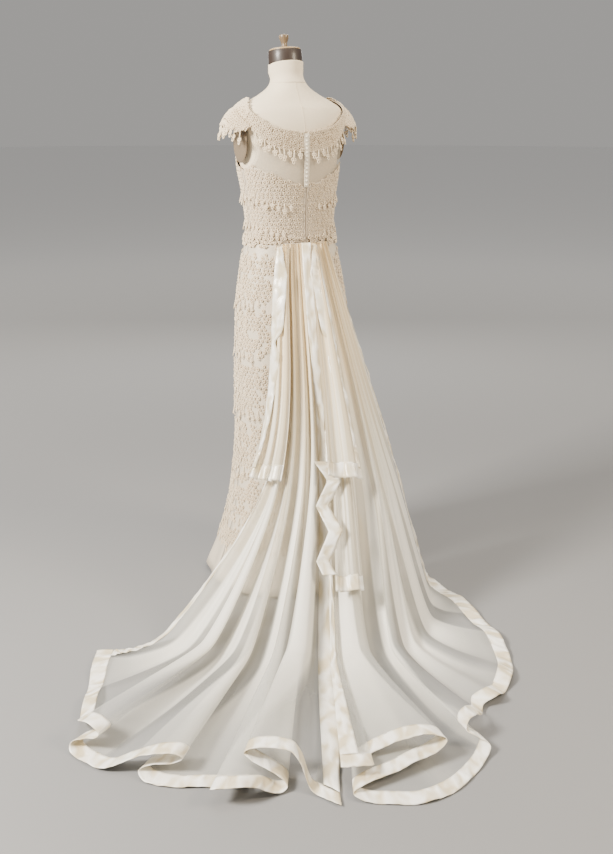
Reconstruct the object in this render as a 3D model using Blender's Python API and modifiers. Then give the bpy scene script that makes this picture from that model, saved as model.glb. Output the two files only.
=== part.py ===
"""A lace wedding dress with a split organza train, standing on a limbless dress form.

Metres, +Z up. The dress faces -Y, its back and its train are towards +Y, and the wearer's left is +X.
The origin is the middle of the underside of the stand's base, on the floor.
"""

from math import cos, pi, radians, sin, sqrt

import bpy
from mathutils import Vector

for old in list(bpy.data.objects):
    bpy.data.objects.remove(old, do_unlink=True)

# Driving sizes.

SEAM_GAP = 0.0006
BODICE_WALL = 0.0018
SKIRT_WALL = 0.0016
ORGANZA_WALL = 0.0012
SATIN_WALL = 0.0013
LACE_WALL = 0.0022
FORM_INSET = 0.0070
BAND_WIDTH = 0.045
WAIST_HEIGHT = 1.041
CURVE_OF_BODY = 2.35
ARM_FACE = 0.152
BASE_RADIUS = 0.13
BASE_HEIGHT = 0.016
POLE_RADIUS = 0.016
FORM_FOOT = 0.78
TRAIN_TURN = radians(28)

# The body line that the dress follows: one row a height, from the hem to the top of the neck.
# up is the distance along the body, so that it also runs up the slope of the shoulder.
# up, height, half width, back depth, front depth, shift of the middle
BODY = [
    (0.012, 0.012, 0.262, 0.238, 0.232, 0.000),
    (0.120, 0.120, 0.222, 0.195, 0.190, 0.000),
    (0.250, 0.250, 0.190, 0.162, 0.158, 0.000),
    (0.450, 0.450, 0.171, 0.135, 0.130, 0.000),
    (0.620, 0.620, 0.171, 0.130, 0.122, 0.000),
    (0.800, 0.800, 0.166, 0.131, 0.112, 0.000),
    (0.880, 0.880, 0.162, 0.127, 0.108, 0.000),
    (0.980, 0.980, 0.146, 0.108, 0.102, 0.000),
    (1.080, 1.080, 0.129, 0.092, 0.096, 0.000),
    (1.170, 1.170, 0.135, 0.095, 0.112, 0.000),
    (1.250, 1.250, 0.147, 0.100, 0.130, 0.000),
    (1.340, 1.335, 0.160, 0.100, 0.112, 0.000),
    (1.380, 1.375, 0.168, 0.096, 0.100, 0.000),
    (1.410, 1.402, 0.170, 0.088, 0.088, 0.000),
    (1.430, 1.418, 0.160, 0.080, 0.074, 0.000),
    (1.460, 1.434, 0.135, 0.070, 0.060, -0.002),
    (1.500, 1.452, 0.098, 0.063, 0.048, -0.005),
    (1.540, 1.474, 0.064, 0.057, 0.042, -0.010),
    (1.580, 1.500, 0.050, 0.051, 0.042, -0.016),
    (1.610, 1.520, 0.0475, 0.048, 0.044, -0.021),
]

# Top edge of the neckline, round from the centre back to the centre front.
# turn in degrees, up
NECKLINE = [
    (0, 1.352),
    (30, 1.368),
    (52, 1.400),
    (70, 1.436),
    (90, 1.468),
    (112, 1.440),
    (140, 1.392),
    (180, 1.366),
]
NECK_BAND = 0.052
BAND_GAP = 0.0012

# Edge where the see-through yoke ends and the lace bodice begins, at the back.
# turn in degrees, up
LACE_EDGE = [(0, 1.200), (30, 1.225), (60, 1.252), (90, 1.262)]

# Armhole: an oval hole round the side of the body.
ARMHOLE_MIDDLE = 1.325
ARMHOLE_HALF_HEIGHT = 0.076
ARMHOLE_HALF_TURN = 33.0

# Hem of the long train panels, from the outer corner of the left one to its opening corner,
# and from the opening corner of the right one to its outer corner.
# bearing in degrees from the line of the train, reach from the middle of the form, lift
LEFT_HEM = [
    (-43.4, 0.770, 0.002),
    (-39.0, 0.838, 0.006),
    (-34.5, 0.915, 0.002),
    (-31.5, 0.985, 0.016),
    (-29.6, 1.035, 0.010),
    (-28.0, 1.075, 0.030),
    (-26.6, 1.108, 0.056),
    (-24.6, 1.120, 0.062),
    (-23.2, 1.125, 0.050),
    (-23.6, 1.127, 0.037),
    (-25.2, 1.132, 0.029),
    (-26.6, 1.142, 0.017),
    (-26.2, 1.156, 0.004),
    (-24.0, 1.172, 0.001),
    (-21.0, 1.185, 0.006),
    (-18.5, 1.175, 0.030),
    (-15.5, 1.165, 0.052),
    (-13.2, 1.155, 0.054),
    (-12.2, 1.150, 0.041),
    (-13.0, 1.150, 0.028),
    (-15.5, 1.160, 0.022),
    (-16.9, 1.175, 0.012),
    (-15.8, 1.195, 0.002),
    (-12.5, 1.198, 0.001),
    (-9.0, 1.185, 0.001),
    (-6.0, 1.182, 0.003),
    (-4.7, 1.188, 0.012),
    (-5.5, 1.202, 0.019),
    (-7.0, 1.222, 0.026),
    (-8.1, 1.244, 0.036),
    (-7.2, 1.250, 0.047),
    (-5.2, 1.240, 0.043),
    (-3.4, 1.218, 0.028),
    (-2.0, 1.205, 0.008),
    (-1.1, 1.196, 0.003),
    (-0.5, 1.187, 0.011),
    (-0.9, 1.180, 0.023),
    (-2.2, 1.170, 0.036),
    (-3.5, 1.162, 0.049),
    (-4.6, 1.156, 0.059),
    (-5.3, 1.150, 0.069),
    (-4.4, 1.147, 0.079),
    (-2.2, 1.147, 0.082),
    (-0.2, 1.152, 0.076),
    (0.9, 1.166, 0.055),
    (1.4, 1.182, 0.031),
    (2.0, 1.196, 0.007),
    (3.3, 1.217, 0.002),
    (4.8, 1.246, 0.001),
]
RIGHT_HEM = [
    (5.2, 1.172, 0.046),
    (7.0, 1.177, 0.049),
    (8.5, 1.175, 0.046),
    (8.9, 1.163, 0.039),
    (7.7, 1.147, 0.033),
    (6.9, 1.132, 0.026),
    (7.8, 1.118, 0.024),
    (10.0, 1.108, 0.038),
    (13.5, 1.108, 0.058),
    (16.5, 1.113, 0.060),
    (18.3, 1.122, 0.047),
    (17.2, 1.134, 0.032),
    (14.0, 1.154, 0.026),
    (10.5, 1.178, 0.021),
    (7.6, 1.200, 0.018),
    (6.2, 1.217, 0.010),
    (7.3, 1.238, 0.001),
    (9.5, 1.252, 0.001),
    (12.8, 1.266, 0.002),
    (16.5, 1.246, 0.001),
    (20.4, 1.195, 0.002),
    (22.4, 1.163, 0.004),
    (23.6, 1.140, 0.016),
    (22.7, 1.119, 0.029),
    (21.6, 1.098, 0.040),
    (22.3, 1.082, 0.052),
    (24.0, 1.065, 0.050),
    (25.8, 1.040, 0.028),
    (27.4, 1.008, 0.006),
    (29.0, 0.978, 0.008),
    (31.0, 0.984, 0.022),
    (34.5, 0.955, 0.003),
    (38.2, 0.921, 0.013),
    (42.1, 0.872, 0.002),
    (48.6, 0.772, 0.014),
    (53.0, 0.698, 0.003),
    (61.0, 0.590, 0.013),
    (67.9, 0.507, 0.003),
    (73.5, 0.471, 0.001),
]

# Lines that every fold of a long panel passes between the waist and the hem.
# share across the panel, knee (right, out, height), touch-down on the floor (right, out)
LEFT_GUIDE = [
    (-0.2, -0.105, 0.200, 0.380, -0.430, 0.430),
    (0.0, -0.070, 0.250, 0.380, -0.385, 0.523),
    (0.5, 0.000, 0.315, 0.400, -0.175, 0.670),
    (1.0, 0.088, 0.310, 0.420, 0.085, 0.700),
]
RIGHT_GUIDE = [
    (-0.2, 0.040, 0.312, 0.425, 0.030, 0.705),
    (0.0, 0.097, 0.305, 0.420, 0.100, 0.695),
    (0.5, 0.245, 0.265, 0.400, 0.370, 0.540),
    (1.0, 0.310, 0.100, 0.400, 0.428, 0.116),
]
KNEE_AT = 0.42
TOUCH_AT = 0.68

# Rows of hanging lace drops on the sheath.
# up, first turn, last turn, drops a side, height of the strip over the skirt
SKIRT_TIERS = [
    (0.885, 62, 122, 3, 0.0004),
    (0.735, 66, 124, 3, 0.0018),
    (0.560, 68, 126, 3, 0.0018),
    (0.375, 70, 126, 3, 0.0024),
    (0.225, 72, 128, 3, 0.0044),
    (0.130, 74, 128, 3, 0.0039),
]

collection = bpy.data.collections.new("wedding_dress")
bpy.context.scene.collection.children.link(collection)


def material(name, colour, roughness, metallic=0.0, alpha=1.0):
    made = bpy.data.materials.new(name)
    made.use_nodes = True
    shader = made.node_tree.nodes["Principled BSDF"]
    shader.inputs["Base Color"].default_value = (*colour, 1.0)
    shader.inputs["Roughness"].default_value = roughness
    shader.inputs["Metallic"].default_value = metallic
    shader.inputs["Alpha"].default_value = alpha
    return made


LACE = material("ivory_lace", (0.80, 0.70, 0.58), 0.85)
SHEER = material("sheer_net", (0.78, 0.70, 0.58), 0.8)
ORGANZA = material("ivory_organza", (0.82, 0.78, 0.70), 0.55)
SATIN = material("ivory_satin", (0.86, 0.80, 0.70), 0.35)
FORM_CLOTH = material("cream_form_cloth", (0.78, 0.68, 0.52), 0.9)
DARK_WOOD = material("dark_brown_wood", (0.06, 0.03, 0.02), 0.45)
PALE_RIM = material("pale_rim", (0.72, 0.62, 0.45), 0.5)
TURNED_WOOD = material("turned_wood", (0.42, 0.27, 0.13), 0.5)
STAND_METAL = material("stand_metal", (0.10, 0.10, 0.10), 0.4, 1.0)
ARM_COVER = material("taupe_arm_cover", (0.42, 0.35, 0.27), 0.9)


def curve(rows, at):
    """Smooth values between the rows of a table, whose first column is where each row stands."""
    last = len(rows) - 1
    i = 0
    while i < last - 1 and at > rows[i + 1][0]:
        i += 1
    before = rows[max(i - 1, 0)]
    a = rows[i]
    b = rows[i + 1]
    after = rows[min(i + 2, last)]
    span = b[0] - a[0]
    t = min(max((at - a[0]) / span, 0.0), 1.0)
    values = []
    for c in range(1, len(a)):
        leave = (b[c] - before[c]) / (b[0] - before[0]) * span
        arrive = (after[c] - a[c]) / (after[0] - a[0]) * span
        values.append(
            a[c] * (2 * t**3 - 3 * t**2 + 1)
            + leave * (t**3 - 2 * t**2 + t)
            + b[c] * (3 * t**2 - 2 * t**3)
            + arrive * (t**3 - t**2)
        )
    return values


def on_body(turn, up):
    """Point on the body line: turn in degrees from the centre back towards the wearer's left."""
    height, half, back, front, shift = curve(BODY, up)
    s = sin(radians(turn))
    c = cos(radians(turn))
    power = 2 / CURVE_OF_BODY
    x = half * abs(s) ** power * (1 if s >= 0 else -1)
    y = (back if c >= 0 else front) * abs(c) ** power * (1 if c >= 0 else -1)
    return Vector((x, y + shift, height))


def body(turn, up, out=0.0):
    """Point on the body line, moved out along its surface normal."""
    across = on_body(turn + 1.5, up) - on_body(turn - 1.5, up)
    along = on_body(turn, up + 0.004) - on_body(turn, up - 0.004)
    return on_body(turn, up) + along.cross(across).normalized() * out


def add(name, vertices, faces, slot, wall=0.0, side=1.0):
    """One named piece. A wall above 0 gives an open sheet its thickness."""
    mesh = bpy.data.meshes.new(name)
    mesh.from_pydata([tuple(v) for v in vertices], [], faces)
    mesh.update()
    mesh.materials.append(slot)
    piece = bpy.data.objects.new(name, mesh)
    collection.objects.link(piece)
    if wall:
        shell = piece.modifiers.new("wall", "SOLIDIFY")
        shell.thickness = wall
        shell.offset = side
        shell.use_even_offset = False
    return piece


def cells_of(grid, columns, rows):
    """Triangles of a grid of points, each cell split along its shorter diagonal, as point numbers."""
    faces = []
    for j in range(rows):
        for i in range(columns):
            a = j * (columns + 1) + i
            b = a + 1
            c = a + columns + 2
            d = a + columns + 1
            if (grid[a] - grid[c]).length < (grid[b] - grid[d]).length:
                faces.append([(a, b, c), (a, c, d)])
            else:
                faces.append([(a, b, d), (b, c, d)])
    return faces


def sheet(name, point, columns, rows, slot, wall, side, cut=None):
    """Cloth from a function of two shares, 0 to 1. cut(column, row) says which cells are gaps."""
    grid = [point(i / columns, j / rows) for j in range(rows + 1) for i in range(columns + 1)]
    cells = cells_of(grid, columns, rows)
    faces = []
    for number, pair in enumerate(cells):
        if not (cut and cut(number % columns, number // columns)):
            faces += pair
    return add(name, grid, faces, slot, wall, side)


def folded(name, point, columns, rows, slot, wall):
    """Sheet with sharp folds along its columns. The wall's corner stays on the middle of each fold."""
    width = columns + 1
    grid = [point(i / columns, j / rows) for j in range(rows + 1) for i in range(width)]

    def facing(i, j):
        """Direction that the strip right of column i faces, next to row j."""
        total = Vector((0, 0, 0))
        for k in (j - 1, j):
            if 0 <= k < rows:
                a = k * width + i
                total += (grid[a + width + 1] - grid[a]).cross(grid[a + width] - grid[a + 1]).normalized()
        return total.normalized()

    upper = []
    lower = []
    for j in range(rows + 1):
        for i in range(width):
            left = facing(max(i - 1, 0), j)
            right = facing(min(i, columns - 1), j)
            middle = (left + right).normalized()
            move = middle * (0.5 * wall / max(middle.dot(left), 0.5))
            upper.append(grid[j * width + i] + move)
            lower.append(grid[j * width + i] - move)
    n = len(grid)
    faces = []
    for pair in cells_of(grid, columns, rows):
        for a, b, c in pair:
            faces += [(a, b, c), (n + c, n + b, n + a)]
    rim = list(range(width))
    rim += [j * width + columns for j in range(1, rows + 1)]
    rim += [rows * width + i for i in reversed(range(columns))]
    rim += [j * width for j in reversed(range(1, rows))]
    for a, b in zip(rim, rim[1:] + rim[:1]):
        faces.append((b, a, n + a, n + b))
    return add(name, upper + lower, faces, slot)


def turned(name, profile, slot, sides=32, place=(0, 0, 0), lean=0.0):
    """Solid of revolution from a profile of (radius, height), top to bottom, tilted forwards by lean."""
    vertices = []
    for radius, height in profile:
        for k in range(sides):
            angle = 2 * pi * k / sides
            p = Vector((radius * cos(angle), radius * sin(angle), height))
            p = Vector((p.x, p.y * cos(lean) - p.z * sin(lean), p.y * sin(lean) + p.z * cos(lean)))
            vertices.append(p + Vector(place))
    faces = []
    for j in range(len(profile) - 1):
        for k in range(sides):
            n = (k + 1) % sides
            faces.append((j * sides + k, (j + 1) * sides + k, (j + 1) * sides + n, j * sides + n))
    faces.append(tuple(range(sides)))
    end = (len(profile) - 1) * sides
    faces.append(tuple(end + k for k in reversed(range(sides))))
    return add(name, vertices, faces, slot)


# The form: padded torso, arm covers, neck block, rim, finial, pole and base.

TORSO_SIDES = 24
TORSO_UPS = [FORM_FOOT, 0.88, 0.95, 1.02, 1.09, 1.17, 1.25, 1.31, 1.36, 1.395, 1.42]
TORSO_UPS += [1.445, 1.475, 1.505, 1.535, 1.565, 1.61]
vertices = []
for up in TORSO_UPS:
    for k in range(TORSO_SIDES):
        p = body(360 * k / TORSO_SIDES, up, -FORM_INSET)
        if p.z > 1.22:
            p.x = min(max(p.x, -ARM_FACE), ARM_FACE)
        vertices.append(p)
faces = []
for j in range(len(TORSO_UPS) - 1):
    for k in range(TORSO_SIDES):
        n = (k + 1) % TORSO_SIDES
        a = j * TORSO_SIDES
        faces.append((a + n, a + k, a + TORSO_SIDES + k, a + TORSO_SIDES + n))
faces.append(tuple(range(TORSO_SIDES)))
end = (len(TORSO_UPS) - 1) * TORSO_SIDES
faces.append(tuple(end + k for k in reversed(range(TORSO_SIDES))))
add("form_torso", vertices, faces, FORM_CLOTH)

ARM_SIDES = 16
for side, name in ((1, "arm_cover_left"), (-1, "arm_cover_right")):
    vertices = []
    for x, grow in ((ARM_FACE + 0.0004, 0.96), (ARM_FACE + 0.0040, 1.0), (ARM_FACE + 0.0075, 0.90)):
        for k in range(ARM_SIDES):
            angle = side * 2 * pi * k / ARM_SIDES
            y = 0.043 * grow * cos(angle)
            z = 1.322 + 0.056 * grow * sin(angle)
            vertices.append((side * x, y, z))
    faces = []
    for j in range(2):
        for k in range(ARM_SIDES):
            n = (k + 1) % ARM_SIDES
            a = j * ARM_SIDES
            faces.append((a + k, a + n, a + ARM_SIDES + n, a + ARM_SIDES + k))
    faces.append(tuple(reversed(range(ARM_SIDES))))
    faces.append(tuple(2 * ARM_SIDES + k for k in range(ARM_SIDES)))
    add(name, vertices, faces, ARM_COVER)

NECK_TOP = curve(BODY, 1.610)[0]
NECK_LEAN = radians(8)
NECK_FOOT = NECK_TOP + 0.0066
NECK_BACK = -0.0200


def up_the_neck(height):
    """Place on the leaning axis of the neck block."""
    return (0.0, NECK_BACK - height * sin(NECK_LEAN), NECK_FOOT + height * cos(NECK_LEAN))


turned(
    "neck_block",
    [(0.0462, 0.0400), (0.0475, 0.0385), (0.0480, 0.0040), (0.0470, 0.0015)],
    DARK_WOOD,
    20,
    up_the_neck(0.0),
    NECK_LEAN,
)
turned(
    "neck_rim",
    [(0.0380, 0.0050), (0.0425, 0.0040), (0.0440, 0.0020), (0.0440, 0.0003)],
    PALE_RIM,
    20,
    up_the_neck(0.0400),
    NECK_LEAN,
)
turned(
    "neck_finial",
    [
        (0.0120, 0.0375),
        (0.0140, 0.0355),
        (0.0135, 0.0290),
        (0.0100, 0.0200),
        (0.0078, 0.0120),
        (0.0085, 0.0060),
        (0.0110, 0.0020),
        (0.0110, 0.0003),
    ],
    TURNED_WOOD,
    12,
    up_the_neck(0.0453),
    NECK_LEAN,
)
turned(
    "stand_pole",
    [(POLE_RADIUS, FORM_FOOT - 0.0006), (POLE_RADIUS, BASE_HEIGHT + 0.0003)],
    STAND_METAL,
    12,
)
turned(
    "stand_base",
    [
        (0.030, BASE_HEIGHT),
        (BASE_RADIUS - 0.004, BASE_HEIGHT - 0.004),
        (BASE_RADIUS, BASE_HEIGHT - 0.008),
        (BASE_RADIUS, 0.0),
    ],
    STAND_METAL,
    28,
)


# The sheath: skirt in two pieces, waved towards the hem, then the bodice and its see-through yoke.


FLUTE = 0.0075


def flute_share(up):
    return max(0.0, 1 - up / 0.55) ** 1.6


def skirt(turn, up, out=0.0):
    """Skirt surface: the body line, with soft flutes that grow towards the hem."""
    wave = FLUTE * flute_share(up) * cos(radians(turn) * 12)
    return body(turn, up, out + wave)


SKIRT_TOP = 1.0440


def skirt_panel(first, last):
    def point(s, q):
        up = 0.012 + (SKIRT_TOP - 0.012) * (1 - q) ** 0.85
        return skirt(first + (last - first) * s, up)

    return point


SIDE_SEAM = 0.14
sheet("skirt_back", skirt_panel(-90 + SIDE_SEAM, 90 - SIDE_SEAM), 24, 9, LACE, SKIRT_WALL, 1.0)
sheet("skirt_front", skirt_panel(90 + SIDE_SEAM, 270 - SIDE_SEAM), 24, 9, LACE, SKIRT_WALL, 1.0)


def armhole_edge(up):
    """How far short of the side, in degrees, the cloth stops at this height."""
    from_middle = (up - ARMHOLE_MIDDLE) / ARMHOLE_HALF_HEIGHT
    if abs(from_middle) >= 1:
        return 0.0
    return ARMHOLE_HALF_TURN * sqrt(1 - from_middle**2)


def fold_turn(turn):
    """The same turn on the wearer's left half."""
    return abs((turn + 180) % 360 - 180)


def neckline(turn):
    return curve(NECKLINE, fold_turn(turn))[0]


def under_band(turn):
    """Where the cloth stops below the lace of the neckline."""
    return neckline(turn) - NECK_BAND - BAND_GAP


def lace_edge(turn):
    return curve(LACE_EDGE, min(fold_turn(turn), 90))[0]


def bodice_panel(near, side, low, high):
    """Panel from the turn near to the side, between two edges that follow the turn, round the armhole."""

    def point(s, q):
        shift = ARMHOLE_HALF_TURN * q
        for step in range(24):
            edge = side - shift if side > near else side + shift
            turn = near + (edge - near) * s
            up = low(turn) + (high(turn) - low(turn)) * q
            shift += 0.5 * (armhole_edge(up) - shift)
        return body(turn, up)

    return point


CENTRE_GAP = 0.25
BODICE_FOOT = SKIRT_TOP + SEAM_GAP
for side, word in ((1, "left"), (-1, "right")):
    sheet(
        "bodice_back_" + word,
        bodice_panel(side * CENTRE_GAP, side * (90 - SIDE_SEAM), lambda t: BODICE_FOOT, lace_edge),
        8,
        6,
        LACE,
        BODICE_WALL,
        side * -1.0,
    )
    sheet(
        "yoke_back_" + word,
        bodice_panel(
            side * CENTRE_GAP,
            side * (90 - SIDE_SEAM),
            lambda t: lace_edge(t) + SEAM_GAP,
            under_band,
        ),
        8,
        8,
        SHEER,
        BODICE_WALL,
        side * -1.0,
    )


def front_panel(s, q):
    """Bodice front: both halves in one piece, from side seam to side seam."""
    half = bodice_panel(180, 90 + SIDE_SEAM, lambda t: BODICE_FOOT, under_band)
    p = half(abs(2 * s - 1), q)
    return Vector((p.x if s > 0.5 else -p.x, p.y, p.z))


sheet("bodice_front", front_panel, 16, 13, LACE, BODICE_WALL, 1.0)


# Lace laid on the bodice: the neckline band with its gaps, the caps over the armholes.

LACE_OUT = BODICE_WALL + 0.0004
BAND_COLUMNS = 48


def neck_band(s, q):
    turn = CENTRE_GAP + (360 - 2 * CENTRE_GAP) * s
    rows = [0.0, 0.30, 0.52, 1.0]
    share = rows[round(q * 3)]
    return body(turn, neckline(turn) - NECK_BAND * (1 - share))


def band_gap(i, j):
    return j == 1 and i % 2 == 1


sheet("neckline_band", neck_band, BAND_COLUMNS, 3, LACE, LACE_WALL, -1.0, band_gap)


def cap(side):
    def point(s, q):
        across = 2 * s - 1
        turn = side * (90 + 30 * across)
        root = body(turn, neckline(turn) - NECK_BAND + 0.0050, LACE_WALL + 0.0008)
        reach = q * (0.12 + 0.88 * sqrt(max(1 - across**2, 0.0)))
        return root + Vector((side * 0.034 * reach, 0.0, -0.006 * reach - 0.030 * reach**2))

    return point


for side, word in ((1, "left"), (-1, "right")):
    sheet(
        "cap_sleeve_" + word,
        cap(side),
        12,
        3,
        LACE,
        LACE_WALL,
        side * 1.0,
        lambda i, j: j == 1 and i % 2 == 1 and 0 < i < 11,
    )


def comb(name, rail, hang, drops, length, slot=LACE, side=1.0):
    """A narrow strip with drops that hang from its lower edge. Each drop is a leaf of three cells."""
    pitch = 1 / drops
    stations = [0.0]
    for d in range(drops):
        middle = (d + 0.5) * pitch
        stations += [middle - 0.11 * pitch, middle + 0.11 * pitch]
    stations.append(1.0)
    vertices = [rail(s, 0) for s in stations] + [rail(s, 1) for s in stations]
    n = len(stations)
    faces = [(k, k + 1, n + k + 1, n + k) for k in range(n - 1)]
    for d in range(drops):
        middle = (d + 0.5) * pitch
        deep = length * (1.0, 0.62, 0.82)[d % 3]
        a = n + 1 + 2 * d
        b = len(vertices)
        vertices.append(hang(middle - 0.24 * pitch, 0.66 * deep))
        vertices.append(hang(middle + 0.24 * pitch, 0.66 * deep))
        vertices.append(hang(middle, deep))
        faces.append((a, a + 1, b + 1, b))
        faces.append((b, b + 1, b + 2))
    return add(name, vertices, faces, slot, LACE_WALL, side)


STRIP = 0.005


def neck_drops(first, last):
    def rail(s, k):
        turn = first + (last - first) * s
        return body(turn, neckline(turn) - NECK_BAND - 0.0055 - STRIP * k, LACE_OUT + 0.0003)

    def hang(s, d):
        turn = first + (last - first) * s
        return body(turn, neckline(turn) - NECK_BAND - 0.0055 - STRIP - d, LACE_OUT + 0.0003 + 0.10 * d)

    return rail, hang


for side, word in ((1, "left"), (-1, "right")):
    rail, hang = neck_drops(side * 4, side * 56)
    comb("neck_drops_back_" + word, rail, hang, 7, 0.036, side=side)
rail, hang = neck_drops(126, 234)
comb("neck_drops_front", rail, hang, 12, 0.032)


def cap_drops(side):
    edge = cap(side)

    def rail(s, k):
        return edge(0.10 + 0.80 * s, 1.0) + Vector((side * 0.0006, 0, -0.0012 - STRIP * k))

    def hang(s, d):
        return rail(s, 1) + Vector((side * 0.06 * d, 0, -d))

    return rail, hang


for side, word in ((1, "left"), (-1, "right")):
    rail, hang = cap_drops(side)
    comb("cap_drops_" + word, rail, hang, 5, 0.028, side=side)


def tier_drops(surface, up, first, last, out):
    def rail(s, k):
        return surface(first + (last - first) * s, up - STRIP * k, out)

    def hang(s, d):
        return surface(first + (last - first) * s, up - STRIP - d, out + 0.16 * d)

    return rail, hang


for side, word in ((1, "left"), (-1, "right")):
    rail, hang = tier_drops(body, 1.176, side * 14, side * 150, LACE_OUT + 0.0009)
    comb("bust_drops_" + word, rail, hang, 8, 0.030, side=side)
    rail, hang = tier_drops(body, 1.100, side * 38, side * 150, LACE_OUT + 0.0015)
    comb("waist_drops_" + word, rail, hang, 6, 0.028, side=side)
    for number, (up, first, last, drops, seat) in enumerate(SKIRT_TIERS, 1):
        clear = SKIRT_WALL + seat + FLUTE * flute_share(up - 0.030)
        rail, hang = tier_drops(body, up, side * first, side * last, clear)
        comb("skirt_drops_%d_%s" % (number, word), rail, hang, drops, 0.030, side=side)


# Closing: a placket with covered buttons, then the zip's narrow cover.

BUTTONS = 13


def placket(s, q):
    up = 1.198 + (1.350 - 1.198) * q
    turn = -2.0 + 3.9 * s
    return body(turn, up, LACE_WALL + 0.0008)


strip = sheet("button_placket", placket, 1, 4, SATIN, 0.0016, -1.0)
vertices = []
faces = []
for b in range(BUTTONS):
    up = 1.206 + (1.342 - 1.206) * b / (BUTTONS - 1)
    foot = body(0.0, up, LACE_WALL + 0.0016)
    for y, radius in ((0.0, 0.0035), (0.0036, 0.0026)):
        for k in range(6):
            angle = 2 * pi * k / 6
            vertices.append(foot + Vector((radius * sin(angle), y, radius * cos(angle))))
    a = b * 12
    for k in range(6):
        n = (k + 1) % 6
        faces.append((a + k, a + n, a + 6 + n, a + 6 + k))
    faces.append(tuple(a + k for k in reversed(range(6))))
    faces.append(tuple(a + 6 + k for k in range(6)))
buttons = add("button_cutter", vertices, faces, SATIN)
buttons.hide_render = True
buttons.hide_set(True)
union = strip.modifiers.new("buttons", "BOOLEAN")
union.operation = "UNION"
union.solver = "EXACT"
union.object = buttons


# The train: two long panels of organza, gathered at the waist, that sweep out over the floor.


def in_room(right, out, height):
    """From the train's own line (right, out) to the room."""
    return Vector(
        (
            -cos(TRAIN_TURN) * right + sin(TRAIN_TURN) * out,
            sin(TRAIN_TURN) * right + cos(TRAIN_TURN) * out,
            height,
        )
    )


def hem_rows(table):
    """Hem table as rows of (share along the hem, right, out, lift, share across)."""
    points = []
    for bearing, reach, lift in table:
        points.append((reach * sin(radians(bearing)), reach * cos(radians(bearing)), lift, bearing))
    length = [0.0]
    for a, b in zip(points, points[1:]):
        length.append(length[-1] + (Vector(b[:3]) - Vector(a[:3])).length)
    first = table[0][0]
    last = table[-1][0]
    rows = []
    for at, (right, out, lift, bearing) in zip(length, points):
        rows.append((at / length[-1], right, out, lift, (bearing - first) / (last - first)))
    return rows, length[-1]


def long_panel(table, guide, first_turn, last_turn, seat):
    rows, hem_length = hem_rows(table)

    def base(s, across, right, out, q):
        """Where the cloth would lie with no folds in it."""
        knee_share = 0.6 * s + 0.4 * across
        touch_share = 0.15 * s + 0.85 * across
        kr, ko, kh = curve(guide, knee_share)[:3]
        tr, to = curve(guide, touch_share)[3:]
        waist = body(first_turn + (last_turn - first_turn) * s, WAIST_HEIGHT, seat)
        knee = in_room(kr, ko, kh)
        touch = in_room(tr, to, -0.020)
        hem = in_room(right, out, -0.100)
        stops = [
            (0.0, *waist),
            (KNEE_AT, *knee),
            (TOUCH_AT, *touch),
            (1.0, *hem),
        ]
        p = Vector(curve(stops, q))
        p.z = 0.5 * (p.z + sqrt(p.z**2 + 0.03**2)) + 0.0008
        return p

    def point(s, q, extra=0.0):
        right, out, lift, across = curve(rows, s)
        here = base(s, across, right, out, q)
        step = base(s, across, right, out, min(q + 0.01, 1.0)) - base(
            s, across, right, out, max(q - 0.01, 0.0)
        )
        spread = in_room(out, -right, 0.0) / sqrt(right**2 + out**2)
        up = spread.cross(step).normalized()
        if up.z < 0:
            up = -up
        grow = 0.12 + 0.88 * min(q / 0.95, 1.0) ** 0.8
        return here + up * (lift * grow + extra)

    def plain(share, q, out, slide=0.0):
        """The same surface with no folds, moved out from the long panel by a clearance."""
        tr, to = curve(guide, share)[3:]
        side = in_room(to, -tr, 0.0) / sqrt(tr**2 + to**2)
        here = base(share, share, 1.7 * tr, 1.7 * to, q)
        after = base(share, share, 1.7 * tr, 1.7 * to, q + 0.01)
        before = base(share, share, 1.7 * tr, 1.7 * to, q - 0.01)
        step = after - before
        up = side.cross(step).normalized()
        if up.dot(in_room(tr, to, 0.3)) < 0:
            up = -up
        return here + up * out + side * slide

    return point, plain, hem_length


def band_share(point, s, step=0.01):
    """Share of the column that the hem band takes up, measured back along the cloth."""
    q = 1.0
    here = point(s, q)
    run = 0.0
    while True:
        there = point(s, q - step)
        part = (there - here).length
        if run + part >= BAND_WIDTH:
            return 1 - q + step * (BAND_WIDTH - run) / part
        run += part
        q -= step
        here = there


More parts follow.
